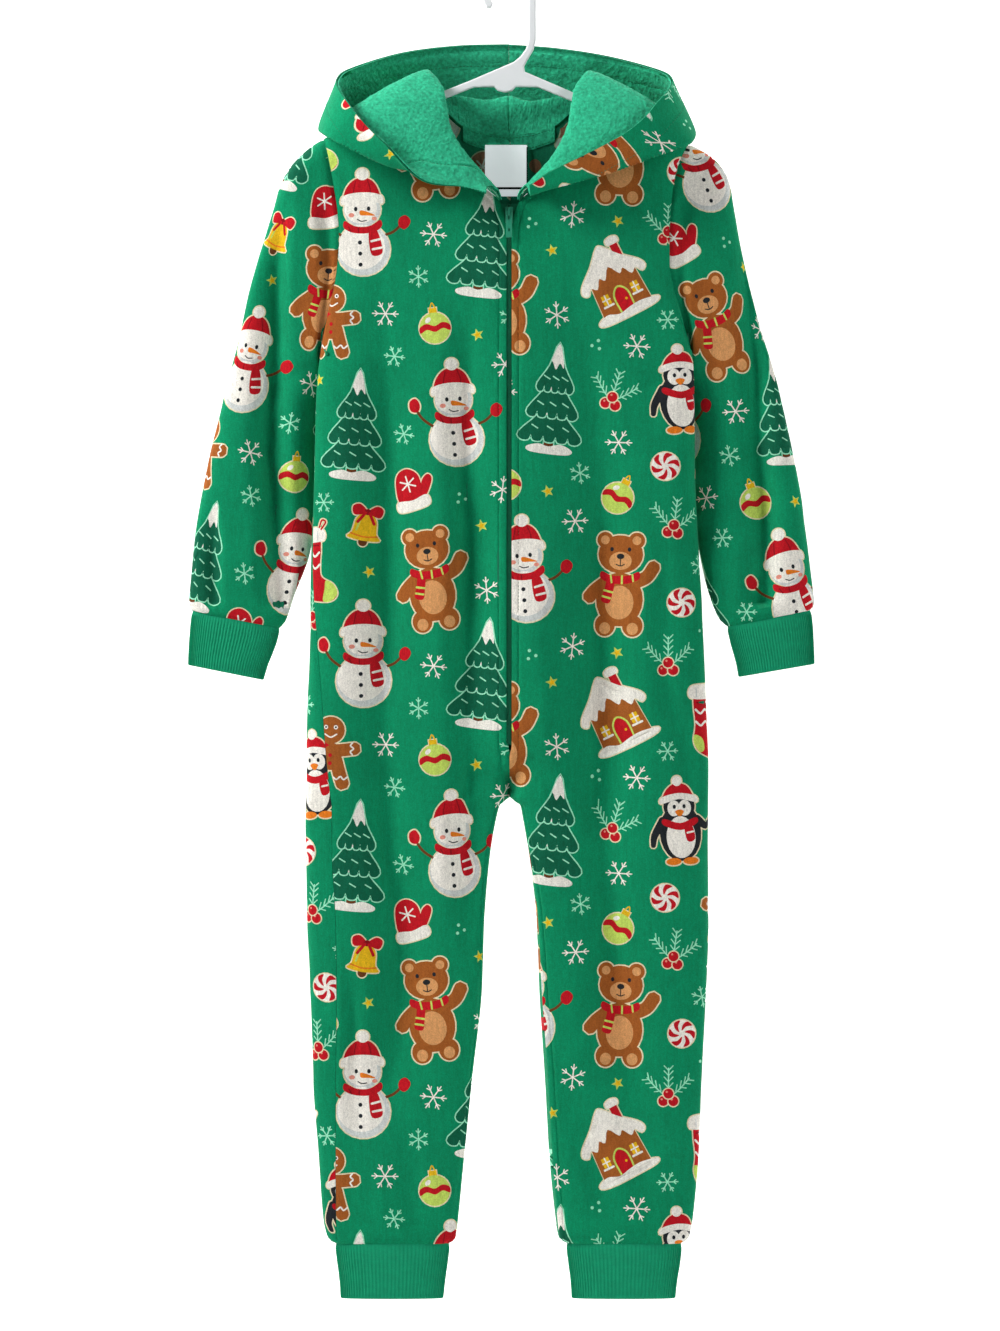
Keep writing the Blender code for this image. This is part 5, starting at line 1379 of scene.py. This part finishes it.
for side in SLEEVES:
    places, ways, pattern = sleeve(side)
    places = creased(places, ways, pattern, SLEEVE_VALLEYS, SLEEVE_CREASES, 0.7, 21)
    # Beside the armhole seam the sleeve sinks below the body's edge.
    sink = 5.5 * np.exp(-((margins(places, pattern)[2] - 11.0) / 9.5) ** 2) * eased((places[..., 1] - 185) / 50)
    places[..., 2] += np.where(ways[..., 2] < 0, sink, -0.3 * sink)
    # Below the armhole the sleeve's inner edge lies against the body.
    inner = np.exp(-(((np.linspace(0, 1, places.shape[1]) + 0.5) % 1 - 0.5) / 0.10) ** 2)
    lean = 4.5 * np.exp(-((places[..., 1] - 380) / 34) ** 2) * inner[None, :]
    places[..., 0] += lean * (1 if side == "right" else -1)
    places = seamed(places, ways, pattern, (0.7, 0.7, 0.6, 0.9))
    # The armhole edge tucks in under the body.
    under = 4.0 + 9.0 * eased((places[0, :, 1:2] - 255) / 40)
    places[0] += unit(places[0] - places[1], 0.01) * under - ways[0] * 2.2
    thing = cloth(f"cloth_sleeve_{side}", places, ways, pattern, printed(pattern, SLEEVE_SHIFTS[side]), WALL)
    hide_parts(f"sleeve_{side}")


# ---------------------------------------------------------------- hood
def hood(side, station_gap, line_gap):
    """The hood's middle surface on a fine grid, its normals and its pattern places."""
    table = HOODS[side]
    stations, lines = [], []
    rough = hood_grid(side, np.arange(len(table), dtype=float), np.arange(7.0))
    for i in range(len(table) - 1):
        wide = np.linalg.norm(rough[i + 1, 1:] - rough[i, 1:], axis=1).max()
        n = max(int(round(wide / station_gap)), 1)
        stations += [i + k / n for k in range(n)]
    for j in range(6):
        tall = np.median(np.linalg.norm(rough[:, j + 1] - rough[:, j], axis=1))
        n = max(int(round(tall / line_gap)), 2)
        lines += [j + k / n for k in range(n)]
    stations = np.array(stations + [len(table) - 1.0])
    lines = np.array(lines + [5.94, 6.0])
    points = hood_grid(side, stations, lines)
    points[-1, :, 0] = ZIP_X + (-0.02 if side == "right" else 0.02)
    ways = grid_normals(points)
    ways[-1, :, 0] = 0
    ways = unit(ways)
    if ways[-1, int(np.searchsorted(lines, 4.0)), 2] < 0:
        ways = -ways
    across = summed(np.linalg.norm(np.diff(points, axis=0), axis=2))
    weight = np.exp(-((lines - 3.6) / 1.6) ** 2)
    station_length = (across * weight).sum(1) / weight.sum()
    up = summed(np.linalg.norm(np.diff(points, axis=1), axis=2), 1)
    return points, ways, np.stack([np.repeat(station_length[:, None], len(lines), 1), up], -1)


HEM = 25.0             # from the hood's rim to its stitches
HOOD_SHIFTS = {"right": (190, 240), "left": (55, 10)}
HOOD_LINES_SEWN = []
for side in HOODS:
    points, ways, flat = hood(side, 4.0, 3.8)
    near = HOOD_GAP / 2
    far = near + HOOD_WALL
    from_centre = (flat[-1:, :, 0] - flat[..., 0])[..., None]
    # The print stands upright at the back of the head, and runs from rim to nape.
    pattern = flat.copy()
    if side == "right":
        pattern[..., 0] *= -1
    face = points + ways * (far - 0.7 * np.exp(-(from_centre / 2.4) ** 2))
    from_rim = flat[:, -1:, 1] - flat[..., 1]
    face -= ways * (0.6 * np.exp(-((from_rim - HEM) / 1.5) ** 2))[..., None]
    sewn, sewn_ways = line_on(face, ways, from_rim, HEM)
    HOOD_LINES_SEWN.append((sewn[3:], sewn_ways[3:]))
    thing = cloth(f"cloth_hood_outer_{side}", face, ways, pattern, printed(pattern, HOOD_SHIFTS[side]),
                  HOOD_WALL - 0.2, coarse=1)
    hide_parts(f"hood_outer_{side}")
    # The lining faces the head: curled pile, flattened at the hem's stitches and the centre seam.
    points, ways, flat = hood(side, 1.8, 1.8)
    u, v = flat[..., 0], flat[..., 1]
    pile = (0.55 * noise(u, v, 2.9, 3) + 0.4 * noise(u + 0.6 * v, v - 0.6 * u, 2.1, 5) + 0.35 * noise(u, v, 8.0, 8)
            + 0.5 * noise(u, v, 24.0, 4))
    from_rim = v[:, -1:] - v
    hem = np.exp(-((from_rim - HEM) / 1.7) ** 2)
    centre = np.exp(-((u[-1:] - u) / 1.9) ** 2)
    edge = np.minimum(np.minimum(v, from_rim) / 2.0, 1.0)
    rolls = 0.8 * np.exp(-((from_rim - HEM) / 5.0) ** 2) + 0.7 * np.exp(-((u[-1:] - u) / 4.5) ** 2)
    lift = 0.62 * pile * edge * (1 - hem) * (1 - centre) + rolls - 1.7 * hem - 1.5 * centre
    # A slack fold hangs across the back of the head, dipping at the centre seam.
    aside = (u[-1:] - u) / 62
    droop = v / v[:, -1:] - 0.36 + 0.05 * np.exp(-(aside / 0.3) ** 2) + 0.02 * np.sin(7 * aside)
    slack = 2.6 * np.exp(-(aside / 0.9) ** 4) * np.exp(-(droop / np.where(droop > 0, 0.045, 0.16)) ** 2)
    face = points - ways * (far + 0.35 + np.maximum(lift, -0.85) + slack)[..., None]
    sewn, sewn_ways = line_on(face, -ways, from_rim, HEM)
    HOOD_LINES_SEWN.append((sewn[3:], sewn_ways[3:]))
    thing = cloth(f"cloth_hood_lining_{side}", face, -ways, flat, [], HOOD_WALL - 0.3, coarse=2)
    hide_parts(f"hood_lining_{side}")


# ---------------------------------------------------------------- rib-knit cuffs
RIBS = 86


def cuff(name):
    """A ribbed tube with a folded end."""
    rows = np.array(CUFFS[name], float)
    at = catmull(rows)
    count = 4 * RIBS
    turns = 2 * pi * np.arange(count) / count
    ribs = 0.4 * np.cos(turns * RIBS)

    def ring(row, inset, ribbed):
        first_x, first_drop, last_x, last_drop, depth, y = row
        slope = (last_drop - first_drop) / (last_x - first_x)
        first_x, first_drop = first_x + inset, first_drop + inset * slope
        last_x, last_drop = last_x - inset, last_drop - inset * slope
        depth = depth - inset
        across = 0.5 + 0.5 * np.cos(turns)
        tall = np.abs(np.sin(turns)) ** (2 / SLEEVE_POWER) * np.sign(np.sin(turns))
        base = np.stack([first_x + (last_x - first_x) * across, first_drop + (last_drop - first_drop) * across,
                         y + depth * tall], -1)
        go = np.roll(base, -1, 0) - np.roll(base, 1, 0)
        out = unit(np.stack([go[:, 2], 0 * go[:, 0], -go[:, 0]], -1))
        if out[0, 0] < 0:
            out = -out
        return base + out * (ribs * ribbed)[:, None]

    last = len(rows) - 1.0
    above = rows[0] - (rows[1] - rows[0]) * 0.22
    grid = [ring(above, 1.7, 0.2)]
    for k, q in enumerate(np.linspace(0, last - 0.06, 15)):
        pull = 0.9 * np.exp(-(k / 0.8) ** 2)
        wave = 0.35 * sin(1.7 * k + len(name))
        grid.append(ring(at(q), pull + 0.12 * wave, 1.0 if k else 0.4))
    grid.append(ring(at(last - 0.02), 0.35, 0.8))
    grid.append(ring(at(last), 1.1, 0.3))
    for q in np.linspace(last - 0.03, 0.0, 8):
        grid.append(ring(at(q), RIB_WALL, 0.5))
    grid.append(ring(above, RIB_WALL + 0.6, 0.2))
    grid = np.array(grid)
    n = len(grid)
    faces = []
    for i in range(n):
        k = (i + 1) % n
        for j in range(count):
            m = (j + 1) % count
            faces.append((i * count + j, i * count + m, k * count + m, k * count + j))
    return made(f"cloth_{name}", grid.reshape(-1, 3), faces)


for name in CUFFS:
    thing = cuff(name)
    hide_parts(name)


# ---------------------------------------------------------------- tapes, label, zip and stitches
def slab(name, front, ways, thick):
    """A closed strip: a grid of places, and its back a thickness behind."""
    rows, columns = front.shape[:2]
    ring = border(rows, columns)
    size = rows * columns
    faces = []
    for i in range(rows - 1):
        for j in range(columns - 1):
            a, b, c, d = i * columns + j, i * columns + j + 1, (i + 1) * columns + j + 1, (i + 1) * columns + j
            faces += [(a, d, c, b), (size + a, size + b, size + c, size + d)]
    for k, (i, j) in enumerate(ring):
        m, n = ring[(k + 1) % len(ring)]
        a, b = i * columns + j, m * columns + n
        faces.append((a, size + a, size + b, b))
    points = np.concatenate([front.reshape(-1, 3), (front - ways * thick).reshape(-1, 3)])
    return made(name, points, faces)


def stitches(name, lines, pitch=3.3, long=2.4, thick=0.24, lift=0.22):
    """Short bent threads along each line of (points, normals)."""
    points, faces = [], []
    count = 0
    t = np.linspace(0, 1, 5)
    turns = 2 * pi * np.arange(5) / 5
    for line_points, line_ways in lines:
        length = run_length(line_points)
        number = int(length[-1] / pitch)
        place = (np.arange(number) * pitch + 0.5)[:, None] + long * t
        go = unit(walk(line_points, length, place + 0.3) - walk(line_points, length, place - 0.3), 1e-6)
        way = unit(walk(line_ways, length, place), 1e-6)
        beside = np.cross(go, way)
        middle = walk(line_points, length, place) + way * (lift * 4 * t * (1 - t) - 0.08)[:, None]
        fat = thick * (0.65 + 0.35 * np.sin(pi * t))[:, None, None]
        points.append((middle[:, :, None] + beside[:, :, None] * (fat * np.cos(turns)[:, None]) * 1.25
                       + way[:, :, None] * (fat * np.sin(turns)[:, None])).reshape(-1, 3))
        for k in range(number):
            base = count + k * 25
            faces += [(base + step * 5 + turn, base + step * 5 + (turn + 1) % 5,
                       base + step * 5 + 5 + (turn + 1) % 5, base + step * 5 + 5 + turn)
                      for step in range(4) for turn in range(5)]
            faces.append(tuple(base + turn for turn in range(4, -1, -1)))
            faces.append(tuple(base + 20 + turn for turn in range(5)))
        count += number * 25
    return made(name, np.concatenate(points), faces)


def softened(node_name, name, width, body):
    """A finer copy of a hard part, with its edges rounded."""
    shape = bmesh.new()
    shape.from_mesh(frame["nodes"][node_name].data)
    bmesh.ops.remove_doubles(shape, verts=shape.verts, dist=1e-6)
    bmesh.ops.dissolve_limit(shape, angle_limit=radians(1), verts=shape.verts, edges=shape.edges)
    sharp = [e for e in shape.edges if len(e.link_faces) == 2 and e.calc_face_angle() > radians(30)]
    bmesh.ops.bevel(shape, geom=sharp, offset=width, offset_type="OFFSET", segments=3, profile=0.5,
                    affect="EDGES", clamp_overlap=True)
    bmesh.ops.triangulate(shape, faces=[f for f in shape.faces if len(f.verts) > 4])
    mesh = bpy.data.meshes.new(name)
    shape.to_mesh(mesh)
    shape.free()
    mesh.shade_smooth()
    mesh.set_sharp_from_angle(angle=radians(40))
    thing = bpy.data.objects.new(name, mesh)
    bpy.context.scene.collection.objects.link(thing)
    thing.matrix_world = frame["nodes"][node_name].matrix_world.copy()
    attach(thing, body)
    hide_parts(node_name)
    return thing


slider = softened("zip_slider", "slider_finish", 0.00032, "root")
pull = softened("pull_tab", "pull_finish", 0.00028, "pull_tab")

# Neck tape: a soft band along the back neck.
HALF_TAPE = 46
band = []
for i in np.linspace(0, 1, 47):
    x = ZIP_X - HALF_TAPE + 2 * HALF_TAPE * i
    edge = 140.0 - 10.5 * (abs(x - ZIP_X) / HALF_TAPE) ** 2.2
    across = []
    for j in np.linspace(0, 1, 9):
        soft = 0.35 * (1 - abs(2 * j - 1) ** 4) + 0.12 * sin(0.5 * x + 3 * j)
        drop = edge - 6 + 16 * j + 0.25 * sin(0.31 * x)
        across.append((x, drop, inside_back(x, edge - 4 + 16 * j) - 1.0 - soft))
    band.append(across)
band = np.array(band)
front_way = np.zeros_like(band) + (0.0, 0.0, -1.0)
tape = slab("cloth_neck_tape", band, front_way, 0.9)
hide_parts("neck_tape")
TAPE_LINES = [(band[2:-2, 1], front_way[2:-2, 1]), (band[2:-2, -2], front_way[2:-2, -2])]

# Label: two leaves, the front one shorter, with dark strips peeking out at its side and foot that are painted shadow
# of the front leaf on the one behind.
deep = min(inside_back(ZIP_X - 20, 146.0), inside_back(ZIP_X - 3, 146.0)) - 2.6


def leaf(first_x, last_x, top, end, ahead, bend):
    """A label's hanging leaf, a little bent, with its normals."""
    grid = []
    for i in np.linspace(0, 1, 25):
        drop = top + (end - top) * i
        grid.append([(x, drop, deep - 0.03 * (drop - 144) - ahead - bend * i ** 2 * (0.6 + 0.4 * cos(0.11 * (x - 500)))
                      - 0.25 * sin(0.16 * x) * i) for x in np.linspace(first_x, last_x, 25)])
    grid = np.array(grid)
    return grid, np.zeros_like(grid) + (0.0, 0.0, -1.0)


grid, way = leaf(485.6, 527.4, 144.0, 195.0, 0.0, 0.5)
under_leaf = slab("label_under", grid, way, 0.3)
grid, way = leaf(485.0, 526.6, 143.4, 187.0, 0.75, 1.0)
upper_leaf = slab("label_upper", grid, way, 0.3)
foot = slab("label_foot_edge", np.stack([grid[-2] + (0, 0.6, -0.06), grid[-1] + (0, 1.1, -0.06)]),
            way[-2:], 0.5)
side_shadow = slab("label_side_edge", np.stack([grid[1:, -1] + (-0.1, 0, -0.05), grid[1:, -1] + (1.1, 0, -0.05)]),
                 way[1:, :2].transpose(1, 0, 2), 0.5)
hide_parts("neck_label")

# Zip: woven tapes with a row of teeth down the middle.
ZIP_TOP, ZIP_END = 205.5, 744.5
drops = np.linspace(ZIP_TOP, ZIP_END, 181)
DEPTHS = {way: np.array([behind_zip(ZIP_X + way, d) for d in drops[::6]]) for way in (-1, 1)}


def zip_depth(x, drop):
    return np.interp(drop, drops[::6], DEPTHS[-1 if x < ZIP_X else 1])


grid = np.array([[(x, d, zip_depth(x, d) + 0.05) for x in np.linspace(ZIP_X - 11.8, ZIP_X + 11.8, 13)]
                 for d in drops])
zip_band = slab("cloth_zip_tape", grid, np.zeros_like(grid) + (0.0, 0.0, -1.0), 0.75)
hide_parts("zip_tape")
points, faces = [], []
for d in np.arange(ZIP_TOP + 0.5, ZIP_END - 0.5, 1.5):
    y = zip_depth(ZIP_X, d) - 0.35
    for side_of in (-1, 1):
        lean = 0.75 * (side_of > 0)
        base = len(points)
        for x, wide, tall in ((ZIP_X + side_of * 2.1, 0.34, 0.5), (ZIP_X + side_of * 0.9, 0.42, 0.75),
                              (ZIP_X - side_of * 0.35, 0.30, 0.45)):
            for dy, dd in ((0, -1), (-1, -0.55), (-1, 0.55), (0, 1)):
                points.append((x, d + lean + dd * wide, y + dy * tall))
        for ring in range(2):
            for turn in range(4):
                a, b = base + ring * 4 + turn, base + ring * 4 + (turn + 1) % 4
                faces.append((a, b, b + 4, a + 4))
        faces += [(base + 3, base + 2, base + 1, base), (base + 8, base + 9, base + 10, base + 11)]
teeth = made("zip_teeth", np.array(points), faces)
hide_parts("zip_coil")

zip_stitching = []
for side in ("right", "left"):
    points, normals = ZIP_LINES[side]
    kept = (points[:, 1] > ZIP_TOP + 0.5) & (points[:, 1] < ZIP_END + 7.5)
    zip_stitching.append((points[kept] - normals[kept] * 0.25, normals[kept]))
thing = stitches("stitches_zip", zip_stitching)
thing = stitches("stitches_neck_tape", TAPE_LINES)
thing = stitches("stitches_hood", HOOD_LINES_SEWN, 3.6, 2.5, 0.26, 0.3)


# ---------------------------------------------------------------- materials
def shader(name, roughness, sheen=0.0, sheen_roughness=0.5, specular=0.3):
    new = bpy.data.materials.new(name)
    new.use_nodes = True
    tree = new.node_tree
    main = tree.nodes["Principled BSDF"]
    main.inputs["Roughness"].default_value = roughness
    main.inputs["Specular IOR Level"].default_value = specular
    main.inputs["Sheen Weight"].default_value = sheen
    main.inputs["Sheen Roughness"].default_value = sheen_roughness
    return new, tree, main


def node(tree, kind, **values):
    new = tree.nodes.new(kind)
    for key, value in values.items():
        if key in new.inputs:
            new.inputs[key].default_value = value
        else:
            setattr(new, key, value)
    return new


def speckle(tree, scale, detail=2.0, stretch=(1, 1, 1)):
    """Noise in the garment's own metres."""
    place = node(tree, "ShaderNodeTexCoord")
    size = node(tree, "ShaderNodeMapping")
    size.inputs["Scale"].default_value = stretch
    spots = node(tree, "ShaderNodeTexNoise", Scale=scale, Detail=detail, Roughness=0.6)
    tree.links.new(place.outputs["Object"], size.inputs["Vector"])
    tree.links.new(size.outputs["Vector"], spots.inputs["Vector"])
    return spots.outputs["Fac"]


def ranged(tree, value, low, high, to_low, to_high):
    new = node(tree, "ShaderNodeMapRange")
    new.inputs["From Min"].default_value = low
    new.inputs["From Max"].default_value = high
    new.inputs["To Min"].default_value = to_low
    new.inputs["To Max"].default_value = to_high
    tree.links.new(value, new.inputs["Value"])
    return new.outputs["Result"]


def combined(tree, operation, values):
    """Values multiplied or added one after another."""
    total = values[0]
    for value in values[1:]:
        new = node(tree, "ShaderNodeMath", operation=operation)
        tree.links.new(total, new.inputs[0])
        tree.links.new(value, new.inputs[1])
        total = new.outputs[0]
    return total


def toned(tree, *spots):
    """The product of several noises, each spread from a low to a high."""
    return combined(tree, "MULTIPLY", [ranged(tree, value, 0.3, 0.7, low, high) for value, low, high in spots])


def shaded(tree, colour, value):
    """A colour made lighter or darker by a value."""
    new = node(tree, "ShaderNodeVectorMath", operation="SCALE")
    if isinstance(colour, str):
        new.inputs[0].default_value = linear(colour)
    else:
        tree.links.new(colour, new.inputs[0])
    tree.links.new(value, new.inputs["Scale"])
    return new.outputs["Vector"]


def bumped(tree, main, height, distance, strength=1.0):
    new = node(tree, "ShaderNodeBump", Strength=strength, Distance=distance)
    tree.links.new(height, new.inputs["Height"])
    tree.links.new(new.outputs["Normal"], main.inputs["Normal"])


def printed_fleece():
    new, tree, main = shader("printed_fleece", 0.92, 0.05, 0.5, 0.1)
    paint = node(tree, "ShaderNodeVertexColor", layer_name="print")
    nap = speckle(tree, 850.0, 2.0)
    tuft = speckle(tree, 260.0, 2.0, (1.6, 1.0, 0.8))
    cloud = speckle(tree, 22.0, 2.0)
    wale = speckle(tree, 420.0, 1.0, (1.0, 1.0, 0.08))
    tone = toned(tree, (nap, 0.80, 1.18), (tuft, 0.91, 1.09), (wale, 0.93, 1.06), (cloud, 0.95, 1.05))
    tree.links.new(shaded(tree, paint.outputs["Color"], tone), main.inputs["Base Color"])
    bumped(tree, main, combined(tree, "ADD", [ranged(tree, nap, 0, 1, 0, 0.5), tuft]), 0.0007, 0.55)
    return new


def pile_fleece():
    new, tree, main = shader("pile_fleece", 0.95, 0.10, 0.5, 0.1)
    curl = speckle(tree, 330.0, 3.0)
    tuft = speckle(tree, 170.0, 2.0)
    tone = toned(tree, (curl, 0.66, 1.26), (tuft, 0.88, 1.10))
    tree.links.new(shaded(tree, "pile", tone), main.inputs["Base Color"])
    bumped(tree, main, curl, 0.0016, 0.8)
    return new


def rib_knit():
    new, tree, main = shader("rib_knit", 0.85, 0.06, 0.4, 0.15)
    yarn = speckle(tree, 1100.0, 2.0)
    cloud = speckle(tree, 60.0, 2.0, (1, 1, 3))
    tone = toned(tree, (yarn, 0.88, 1.1), (cloud, 0.94, 1.05))
    tree.links.new(shaded(tree, "rib", tone), main.inputs["Base Color"])
    bumped(tree, main, yarn, 0.0003, 0.5)
    return new


def smooth_plastic():
    new, tree, main = shader("hanger_plastic", 0.32, 0.0, 0.5, 0.5)
    mottle = speckle(tree, 90.0, 2.0)
    tree.links.new(shaded(tree, "plastic", ranged(tree, mottle, 0.3, 0.7, 0.985, 1.0)), main.inputs["Base Color"])
    tree.links.new(ranged(tree, mottle, 0.3, 0.7, 0.28, 0.36), main.inputs["Roughness"])
    bumped(tree, main, mottle, 0.0001, 0.2)
    return new


def painted_metal():
    new, tree, main = shader("zip_metal", 0.38, 0.0, 0.5, 0.5)
    wear = speckle(tree, 700.0, 3.0)
    tree.links.new(shaded(tree, "enamel", ranged(tree, wear, 0.3, 0.75, 0.9, 1.15)), main.inputs["Base Color"])
    tree.links.new(ranged(tree, wear, 0.3, 0.7, 0.32, 0.46), main.inputs["Roughness"])
    return new


def woven(name, colour, scale, low=0.85, high=1.1, painted_glow=0.0):
    new, tree, main = shader(name, 0.8, 0.1, 0.4, 0.3)
    wave = node(tree, "ShaderNodeTexWave", Scale=scale, Distortion=0.5)
    place = node(tree, "ShaderNodeTexCoord")
    tree.links.new(place.outputs["Object"], wave.inputs["Vector"])
    tree.links.new(shaded(tree, colour, ranged(tree, wave.outputs["Fac"], 0, 1, low, high)), main.inputs["Base Color"])
    bumped(tree, main, wave.outputs["Fac"], 0.0002, 0.4)
    # Any glow set here is painted light: the cloth shines though it is no lamp.
    main.inputs["Emission Color"].default_value = (0.92, 0.97, 1.0, 1.0)
    main.inputs["Emission Strength"].default_value = painted_glow
    return new


FLEECE, PILE, RIB, PLASTIC, METAL = printed_fleece(), pile_fleece(), rib_knit(), smooth_plastic(), painted_metal()
TAPE = woven("tape_weave", "tape", 900.0)
# The label's white satin glows: painted light that brightens it where the hood shades it.
GLOWING_SATIN = woven("label_satin_painted_light", "satin", 1600.0, 0.97, 1.02, 0.52)
THREAD = woven("sewing_thread", "thread", 2500.0, 0.8, 1.1)
# The dark strips beside the label's front leaf carry painted shadow.
PAINTED_SHADOW = woven("label_painted_shadow", "dark_edge", 1500.0, 0.8, 1.2)
FINISH = {"cloth_hood_lining": PILE, "cloth_sleeve_cuff": RIB, "cloth_leg_cuff": RIB, "cloth_neck_tape": PILE,
          "cloth_zip_tape": TAPE, "cloth_": FLEECE, "zip_teeth": TAPE, "slider_finish": METAL, "pull_finish": METAL,
          "label_foot": PAINTED_SHADOW, "label_side": PAINTED_SHADOW, "label_": GLOWING_SATIN, "stitches_": THREAD, "hanger": PLASTIC}
for thing in list(bpy.data.objects):
    kind = next((k for k in FINISH if thing.type == "MESH" and thing.name.startswith(k)), None)
    if kind:
        thing.data.materials.clear()
        thing.data.materials.append(FINISH[kind])


# ---------------------------------------------------------------- stage, lights and camera
def plane(name, corners, colour, one_sided):
    """A flat of the studio; a one-sided one glows a little and can't be seen from behind."""
    mesh = bpy.data.meshes.new(name)
    mesh.from_pydata(corners, [], [(0, 1, 2, 3)])
    thing = bpy.data.objects.new(name, mesh)
    bpy.context.scene.collection.objects.link(thing)
    new = bpy.data.materials.new(name)
    new.use_nodes = True
    tree = new.node_tree
    main = tree.nodes["Principled BSDF"]
    main.inputs["Base Color"].default_value = colour
    main.inputs["Roughness"].default_value = 0.95
    main.inputs["Specular IOR Level"].default_value = 0.1
    if one_sided:
        main.inputs["Emission Color"].default_value = (1, 1, 1, 1)
        main.inputs["Emission Strength"].default_value = 0.8
        facing = node(tree, "ShaderNodeNewGeometry")
        clear = node(tree, "ShaderNodeBsdfTransparent")
        both = node(tree, "ShaderNodeMixShader")
        tree.links.new(facing.outputs["Backfacing"], both.inputs[0])
        tree.links.new(main.outputs[0], both.inputs[1])
        tree.links.new(clear.outputs[0], both.inputs[2])
        tree.links.new(both.outputs[0], tree.nodes["Material Output"].inputs["Surface"])
    mesh.materials.append(new)
    return thing


plane("floor", [(-6, -6, -1.7), (6, -6, -1.7), (6, 6, -1.7), (-6, 6, -1.7)], (0.9, 0.9, 0.9, 1), False)
plane("wall", [(-5, 0.16, -1.7), (5, 0.16, -1.7), (5, 0.16, 3.5), (-5, 0.16, 3.5)], (0.95, 0.95, 0.95, 1), True)

world = bpy.data.worlds.new("studio")
bpy.context.scene.world = world
world.use_nodes = True
world.node_tree.nodes["Background"].inputs["Color"].default_value = (1.0, 1.0, 1.0, 1)
world.node_tree.nodes["Background"].inputs["Strength"].default_value = 0.02


def lamp(name, place, aim, size, power):
    data = bpy.data.lights.new(name, "AREA")
    data.shape = "RECTANGLE"
    data.size, data.size_y = size
    data.energy = power
    thing = bpy.data.objects.new(name, data)
    thing.location = place
    thing.rotation_euler = (Vector(aim) - Vector(place)).to_track_quat("-Z", "Y").to_euler()
    bpy.context.scene.collection.objects.link(thing)


lamp("key", (-1.95, -0.87, 1.00), (0, 0, -0.45), (0.9, 0.9), 80)
lamp("fill", (2.9, -1.35, 1.00), (0, 0, -0.45), (1.3, 1.3), 54)

DISTANCE = 6.0         # of the camera; a metre of the garment's plane fills the picture's width
camera = bpy.data.cameras.new("camera")
camera.sensor_fit = "HORIZONTAL"
camera.sensor_width = 36
camera.lens = 36 * DISTANCE / 1.0
camera.clip_end = 50
viewer = bpy.data.objects.new("camera", camera)
viewer.location = ((500 - ZIP_X) * MM, -DISTANCE, (ROD_DROP - 665.5) * MM)
viewer.rotation_euler = (pi / 2, 0, 0)
bpy.context.scene.collection.objects.link(viewer)
bpy.context.scene.camera = viewer
bpy.context.scene.view_settings.view_transform = "Standard"
